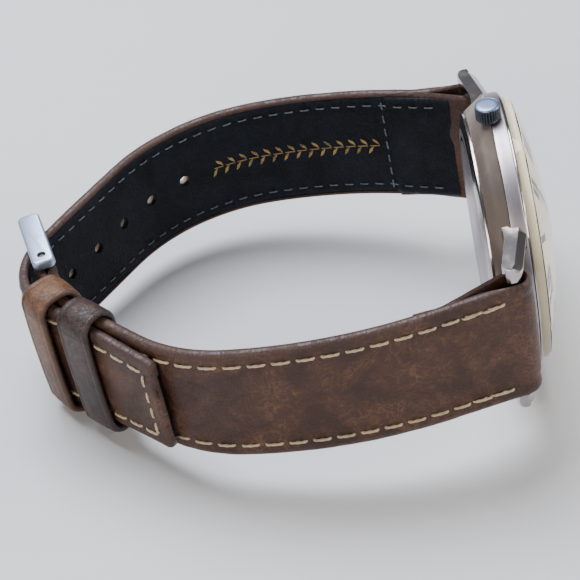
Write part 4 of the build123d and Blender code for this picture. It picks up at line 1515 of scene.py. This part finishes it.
class WATCH_OT_dial(WatchOperator, bpy.types.Operator):
    """Build the dial with its Roman hours and minute track"""

    bl_idname = "watch.dial"
    bl_label = "Dial"

    HOURS = ["XII", "I", "II", "III", "IIII", "V", "VI", "VII", "VIII", "IX", "X", "XI"]
    STROKES = {"I": 1.15, "V": 2.2, "X": 2.3}

    def letter(self, shape, kind, left, height, put):
        """One numeral letter of thick and thin strokes with slab feet."""
        width = self.STROKES[kind]
        thick, thin, foot = 0.82, 0.3, 0.3
        right = left + width

        def stroke(x0, x1, weight):
            shape.prism([
                (x0 - weight / 2, 0.0), (x0 + weight / 2, 0.0), (x1 + weight / 2, height),
                (x1 - weight / 2, height),
            ], 0.0, 0.12, put)

        def slab(x0, x1, y):
            shape.prism([(x0, y), (x1, y), (x1, y + foot), (x0, y + foot)], 0.0, 0.125, put)

        middle = (left + right) / 2
        if kind == "I":
            stroke(middle, middle, thick)
            slab(middle - 0.5, middle + 0.5, 0.0)
            slab(middle - 0.5, middle + 0.5, height - foot)
        elif kind == "V":
            stroke(middle, left + 0.45, thick)
            stroke(middle, right - 0.4, thin)
            slab(left + 0.05, left + 0.95, height - foot)
            slab(right - 0.8, right - 0.05, height - foot)
        else:
            stroke(right - 0.5, left + 0.5, thick)
            stroke(left + 0.45, right - 0.45, thin)
            for x in (left + 0.05, right - 0.95):
                slab(x, x + 0.9, 0.0)
                slab(x, x + 0.9, height - foot)

    def build(self, context):
        settings = context.scene.watch_case
        height = settings.numeral_height / MM
        foot_r = 14.1 - height
        face = Shape()
        turned(face, [
            (0.85, DIAL_TOP), (6.0, DIAL_TOP), (14.0, DIAL_TOP), (DIAL_R - 0.1, DIAL_TOP),
            (DIAL_R, DIAL_TOP - 0.08), (DIAL_R, DIAL_TOP - 0.4), (0.85, DIAL_TOP - 0.4),
        ], on_dial, 192, closed=True)
        face.finish("dial_face", "watch", "dial_cream", [finish("dial_cream")], ["dial"], 30)
        flange = Shape()
        turned(flange, [
            (15.7, DIAL_TOP), (16.05, DIAL_TOP), (16.08, 0.8), (15.98, 0.9), (15.88, 0.85),
        ], on_dial, 192, closed=True)
        flange.finish("dial_flange", "watch", "dial_cream", [finish("dial_cream")], sharp=30)
        marks = Shape()
        for hour, text in enumerate(self.HOURS):
            turn = hour * 30.0
            width = sum(self.STROKES[kind] for kind in text)
            left = -width / 2

            def put(x, y, h):
                r = hypot(x, foot_r + y)
                return on_dial(r, turn + degrees(atan2(x, foot_r + y)), DIAL_TOP + h)

            for kind in text:
                self.letter(marks, kind, left, height, put)
                left += self.STROKES[kind]
        for r0, r1 in ((14.35, 14.45), (15.15, 15.25)):
            turned(marks, [(r0, DIAL_TOP), (r1, DIAL_TOP), (r1, DIAL_TOP + 0.025),
                           (r0, DIAL_TOP + 0.025)], on_dial, 180, closed=True)
        for minute in range(60):
            half = 0.17 if minute % 5 == 0 else 0.06
            turn = minute * 6.0

            def tick(x, y, h):
                return on_dial(hypot(x, y), turn + degrees(atan2(x, y)), DIAL_TOP + h)

            marks.prism([(-half, 14.4), (half, 14.4), (half, 15.2), (-half, 15.2)], 0.0, 0.025,
                        tick)
        marks.finish("dial_marks", "watch", "hand_black", [finish("numeral")], sharp=30)


class WATCH_OT_hands(WatchOperator, bpy.types.Operator):
    """Build the three ridged hands"""

    bl_idname = "watch.hands"
    bl_label = "Hands"

    def hand(self, node, body, angle, height, thick, hub, bore, stations):
        shape = Shape()

        def put(along, across, h):
            r = hypot(along, across)
            return on_dial(r, angle + degrees(atan2(across, along)), height + h)

        rings = []
        for along, half in stations:
            ring = []
            for across, h in ((-half, 0.0), (-half, thick * 0.55), (0.0, thick),
                              (half, thick * 0.55), (half, 0.0)):
                ring.append(shape.point(put(along, across, h), (along * 0.01, across * 0.01)))
            rings.append(ring)
        shape.tube(rings)
        turned(shape, [
            (bore, 0.0), (hub, 0.0), (hub, thick * 0.8), (hub - 0.1, thick * 1.15),
            (bore, thick * 1.15),
        ], lambda r, a, h: on_dial(r, a, height + h), 48, closed=True)
        shape.finish(node + "_ridged", body, "hand_black", [finish("hand_black")], [node], 20)

    def build(self, context):
        self.hand("hour_hand", "hours", 305.0, 0.05, 0.14, 1.0, 0.65, [
            (-1.2, 0.16), (0.8, 0.2), (5.6, 0.48), (6.9, 0.34), (8.45, 0.02)])
        self.hand("minute_hand", "minutes", 60.0, 0.36, 0.13, 0.8, 0.33, [
            (-1.6, 0.14), (0.8, 0.16), (9.2, 0.36), (10.8, 0.26), (12.75, 0.02)])
        self.hand("second_hand", "seconds", 210.0, 0.7, 0.1, 0.5, 0.12, [
            (-3.6, 0.14), (-1.6, 0.11), (0.0, 0.09), (13.55, 0.03)])


class WATCH_OT_crown(WatchOperator, bpy.types.Operator):
    """Build the fluted winding crown"""

    bl_idname = "watch.crown"
    bl_label = "Crown"

    def build(self, context):
        def put(r, angle, along):
            a = radians(angle)
            return place(STEM_H + r * cos(a), r * sin(a), along)

        def flute(angle, along):
            middle = blend_between(CROWN_START + 0.05, CROWN_START + 0.3, along)
            middle *= 1 - blend_between(CROWN_END - 0.4, CROWN_END - 0.2, along)
            return 0.2 * middle * abs(sin(radians(angle) * FLUTES / 2)) ** 3

        rows = 9
        wall = [
            (CROWN_R, mix(CROWN_START + 0.12, CROWN_END - 0.3, k / (rows - 1)))
            for k in range(rows)
        ]
        profile = [(1.0, 19.3), (1.0, CROWN_START), (1.42, CROWN_START), (1.54, CROWN_START + 0.05)]
        profile += wall + [
            (1.57, CROWN_END - 0.2), (1.46, CROWN_END - 0.06), (1.38, CROWN_END - 0.03),
            (1.34, CROWN_END - 0.05), (1.28, CROWN_END - 0.02), (0.8, CROWN_END - 0.01),
            (0.4, CROWN_END), (0.0, CROWN_END),
        ]
        shape = Shape()
        profile = [(0.0, 19.3)] + profile
        # The cap end takes the painted sky reflection finish, the fluted side the painted shade
        # finish.
        slots = [0] * (len(profile) - 8) + [1] * 8
        turned(shape, profile, put, FLUTES * 10, wobble=flute, slots=slots)
        shape.finish("winding_crown", "crown", "polished_steel",
                     [finish("crown_steel"), finish("crown_face")], ["crown"], 40)


class WATCH_OT_buckle(WatchOperator, bpy.types.Operator):
    """Build the buckle's arms, its front bar and the tang"""

    bl_idname = "watch.buckle"
    bl_label = "Buckle"

    ARM_GAP = 17.2
    ARM_T = 1.4
    ARM_W = 3.0
    PIN_HOLE_R = 0.58

    def build(self, context):
        steel = finish("buckle_steel")
        dx, dy = FRONT_BAR[0] - BUCKLE_PIN[0], FRONT_BAR[1] - BUCKLE_PIN[1]
        length = hypot(dx, dy)
        way = (dx / length, dy / length)

        def put(u, v, z):
            return place(BUCKLE_PIN[0] + u * way[0] - v * way[1],
                         BUCKLE_PIN[1] + u * way[1] + v * way[0], z)

        middle = (1.5 + length - 1.6) / 2
        outline = [
            (middle + u, v)
            for u, v, _, _ in rounded_box(length + 3.1, self.ARM_W, 0.85, 6)
        ]
        for label, sign in (("upper", 1), ("lower", -1)):
            arm = Shape()
            inner, outer = self.ARM_GAP / 2 * sign, (self.ARM_GAP / 2 + self.ARM_T) * sign
            rings = []
            for z in (inner, mix(inner, outer, 0.5), outer):
                rings.append([
                    arm.point(put(u, v, z), (u * 0.01, (v + abs(z)) * 0.01)) for u, v in outline
                ])
            arm.tube(rings)
            piece = arm.finish(f"buckle_arm_{label}", "buckle", "buckle_steel", [steel],
                               ["buckle_frame"] if sign > 0 else (), 30)
            bevel(piece, 0.36, 4, 35)
            drill = Shape()
            turned(drill, [(0.0, self.ARM_GAP / 2 - 1), (self.PIN_HOLE_R, self.ARM_GAP / 2 - 1),
                           (self.PIN_HOLE_R, self.ARM_GAP / 2 + 3), (0.0, self.ARM_GAP / 2 + 3)],
                   lambda r, a, h: put(r * cos(radians(a)), r * sin(radians(a)), h * sign), 24)
            cut(piece, loose(drill, "pin drill"))
            soften(piece, 30)
        bar = Shape()
        reach = self.ARM_GAP / 2 + 0.2
        rows = []
        for k in range(25):
            z = mix(-reach, reach, k / 24)
            flare = 0.3 * blend_between(reach - 1.2, reach, abs(z)) ** 2
            rows.append((0.75 + flare, z))
        turned(bar, [(0.0, -reach)] + rows + [(0.0, reach)],
               lambda r, a, h: put(length + r * cos(radians(a)), r * sin(radians(a)), h), 40)
        bar.finish("buckle_front_bar", "buckle", "buckle_steel", [steel], sharp=50)
        self.tang(steel)

    def tang(self, steel):
        line = even([(-61.75, -1.25), (-63.2, 0.15), (-64.55, 1.6), (-64.95, 2.6), (-64.98, 3.8),
                     (-64.8, 5.2), (-64.72, 6.3)], 0.3, smooth=4)
        outs = normals(line, 1)
        shape = Shape()
        rings = []
        for k, ((x, y), (nx, ny)) in enumerate(zip(line, outs)):
            part = k / (len(line) - 1)
            wide = mix(0.7, 0.45, part)
            thick = mix(0.42, 0.26, part)
            end = min(1.0, 0.35 + (1 - part) * 8)
            ring = []
            for m in range(16):
                a = 2 * pi * m / 16
                v = wide * end * (abs(cos(a)) ** 0.6) * (1 if cos(a) > 0 else -1)
                d = thick * end * (abs(sin(a)) ** 0.6) * (1 if sin(a) > 0 else -1)
                ring.append(shape.point(place(x + nx * d, y + ny * d, v), (k * 0.003, v * 0.01)))
            rings.append(ring)
        shape.tube(rings)
        turned(shape, [(0.7, -0.62), (0.98, -0.68), (1.05, -0.5), (1.05, 0.5), (0.98, 0.68),
                       (0.7, 0.62)],
               lambda r, a, h: place(BUCKLE_PIN[0] + r * cos(radians(a)),
                                     BUCKLE_PIN[1] + r * sin(radians(a)), h), 40, closed=True)
        shape.finish("buckle_tongue", "tang", "buckle_steel", [steel], ["buckle_tang"], 35)


class WATCH_OT_works(WatchOperator, bpy.types.Operator):
    """Give the movement, the spring bars and the seals their finishes"""

    bl_idname = "watch.works"
    bl_label = "Movement and Bars"

    def build(self, context):
        for node in frame["nodes"].values():
            for index, slot in enumerate(node.material_slots):
                name = slot.material.name.split(".")[0]
                slot.link = "DATA"
                node.data.materials[index] = finish(name)
            if not node.data.uv_layers:
                node.data.uv_layers.new(name="surface")


STEPS = [
    WATCH_OT_stage, WATCH_OT_strap_leather, WATCH_OT_strap_lining, WATCH_OT_hole_walls,
    WATCH_OT_stitching, WATCH_OT_foil_sprig, WATCH_OT_keepers, WATCH_OT_case, WATCH_OT_crystal,
    WATCH_OT_dial, WATCH_OT_hands, WATCH_OT_crown, WATCH_OT_buckle, WATCH_OT_works,
]


class WATCH_PT_panel(bpy.types.Panel):
    """Every building step of the watch, with its sizes and colours"""

    bl_idname = "WATCH_PT_panel"
    bl_label = "Dress Watch"
    bl_space_type = "VIEW_3D"
    bl_region_type = "UI"
    bl_category = "Watch"

    def draw(self, context):
        scene = context.scene
        for settings in (scene.watch_strap, scene.watch_case, scene.watch_stage):
            box = self.layout.box()
            for name in settings.__annotations__:
                box.prop(settings, name)
        column = self.layout.column()
        for step in STEPS:
            column.operator(step.bl_idname)


SETTINGS = {
    "watch_strap": WatchStrapSettings, "watch_case": WatchCaseSettings,
    "watch_stage": WatchStageSettings,
}


def register():
    for name, settings in SETTINGS.items():
        bpy.utils.register_class(settings)
        setattr(bpy.types.Scene, name, bpy.props.PointerProperty(type=settings))
    for step in STEPS:
        bpy.utils.register_class(step)
    bpy.utils.register_class(WATCH_PT_panel)


def unregister():
    bpy.utils.unregister_class(WATCH_PT_panel)
    for step in reversed(STEPS):
        bpy.utils.unregister_class(step)
    for name, settings in reversed(SETTINGS.items()):
        delattr(bpy.types.Scene, name)
        bpy.utils.unregister_class(settings)


def main():
    register()
    for step in STEPS:
        group, name = step.bl_idname.split(".")
        getattr(getattr(bpy.ops, group), name)()


if __name__ == "__main__":
    main()
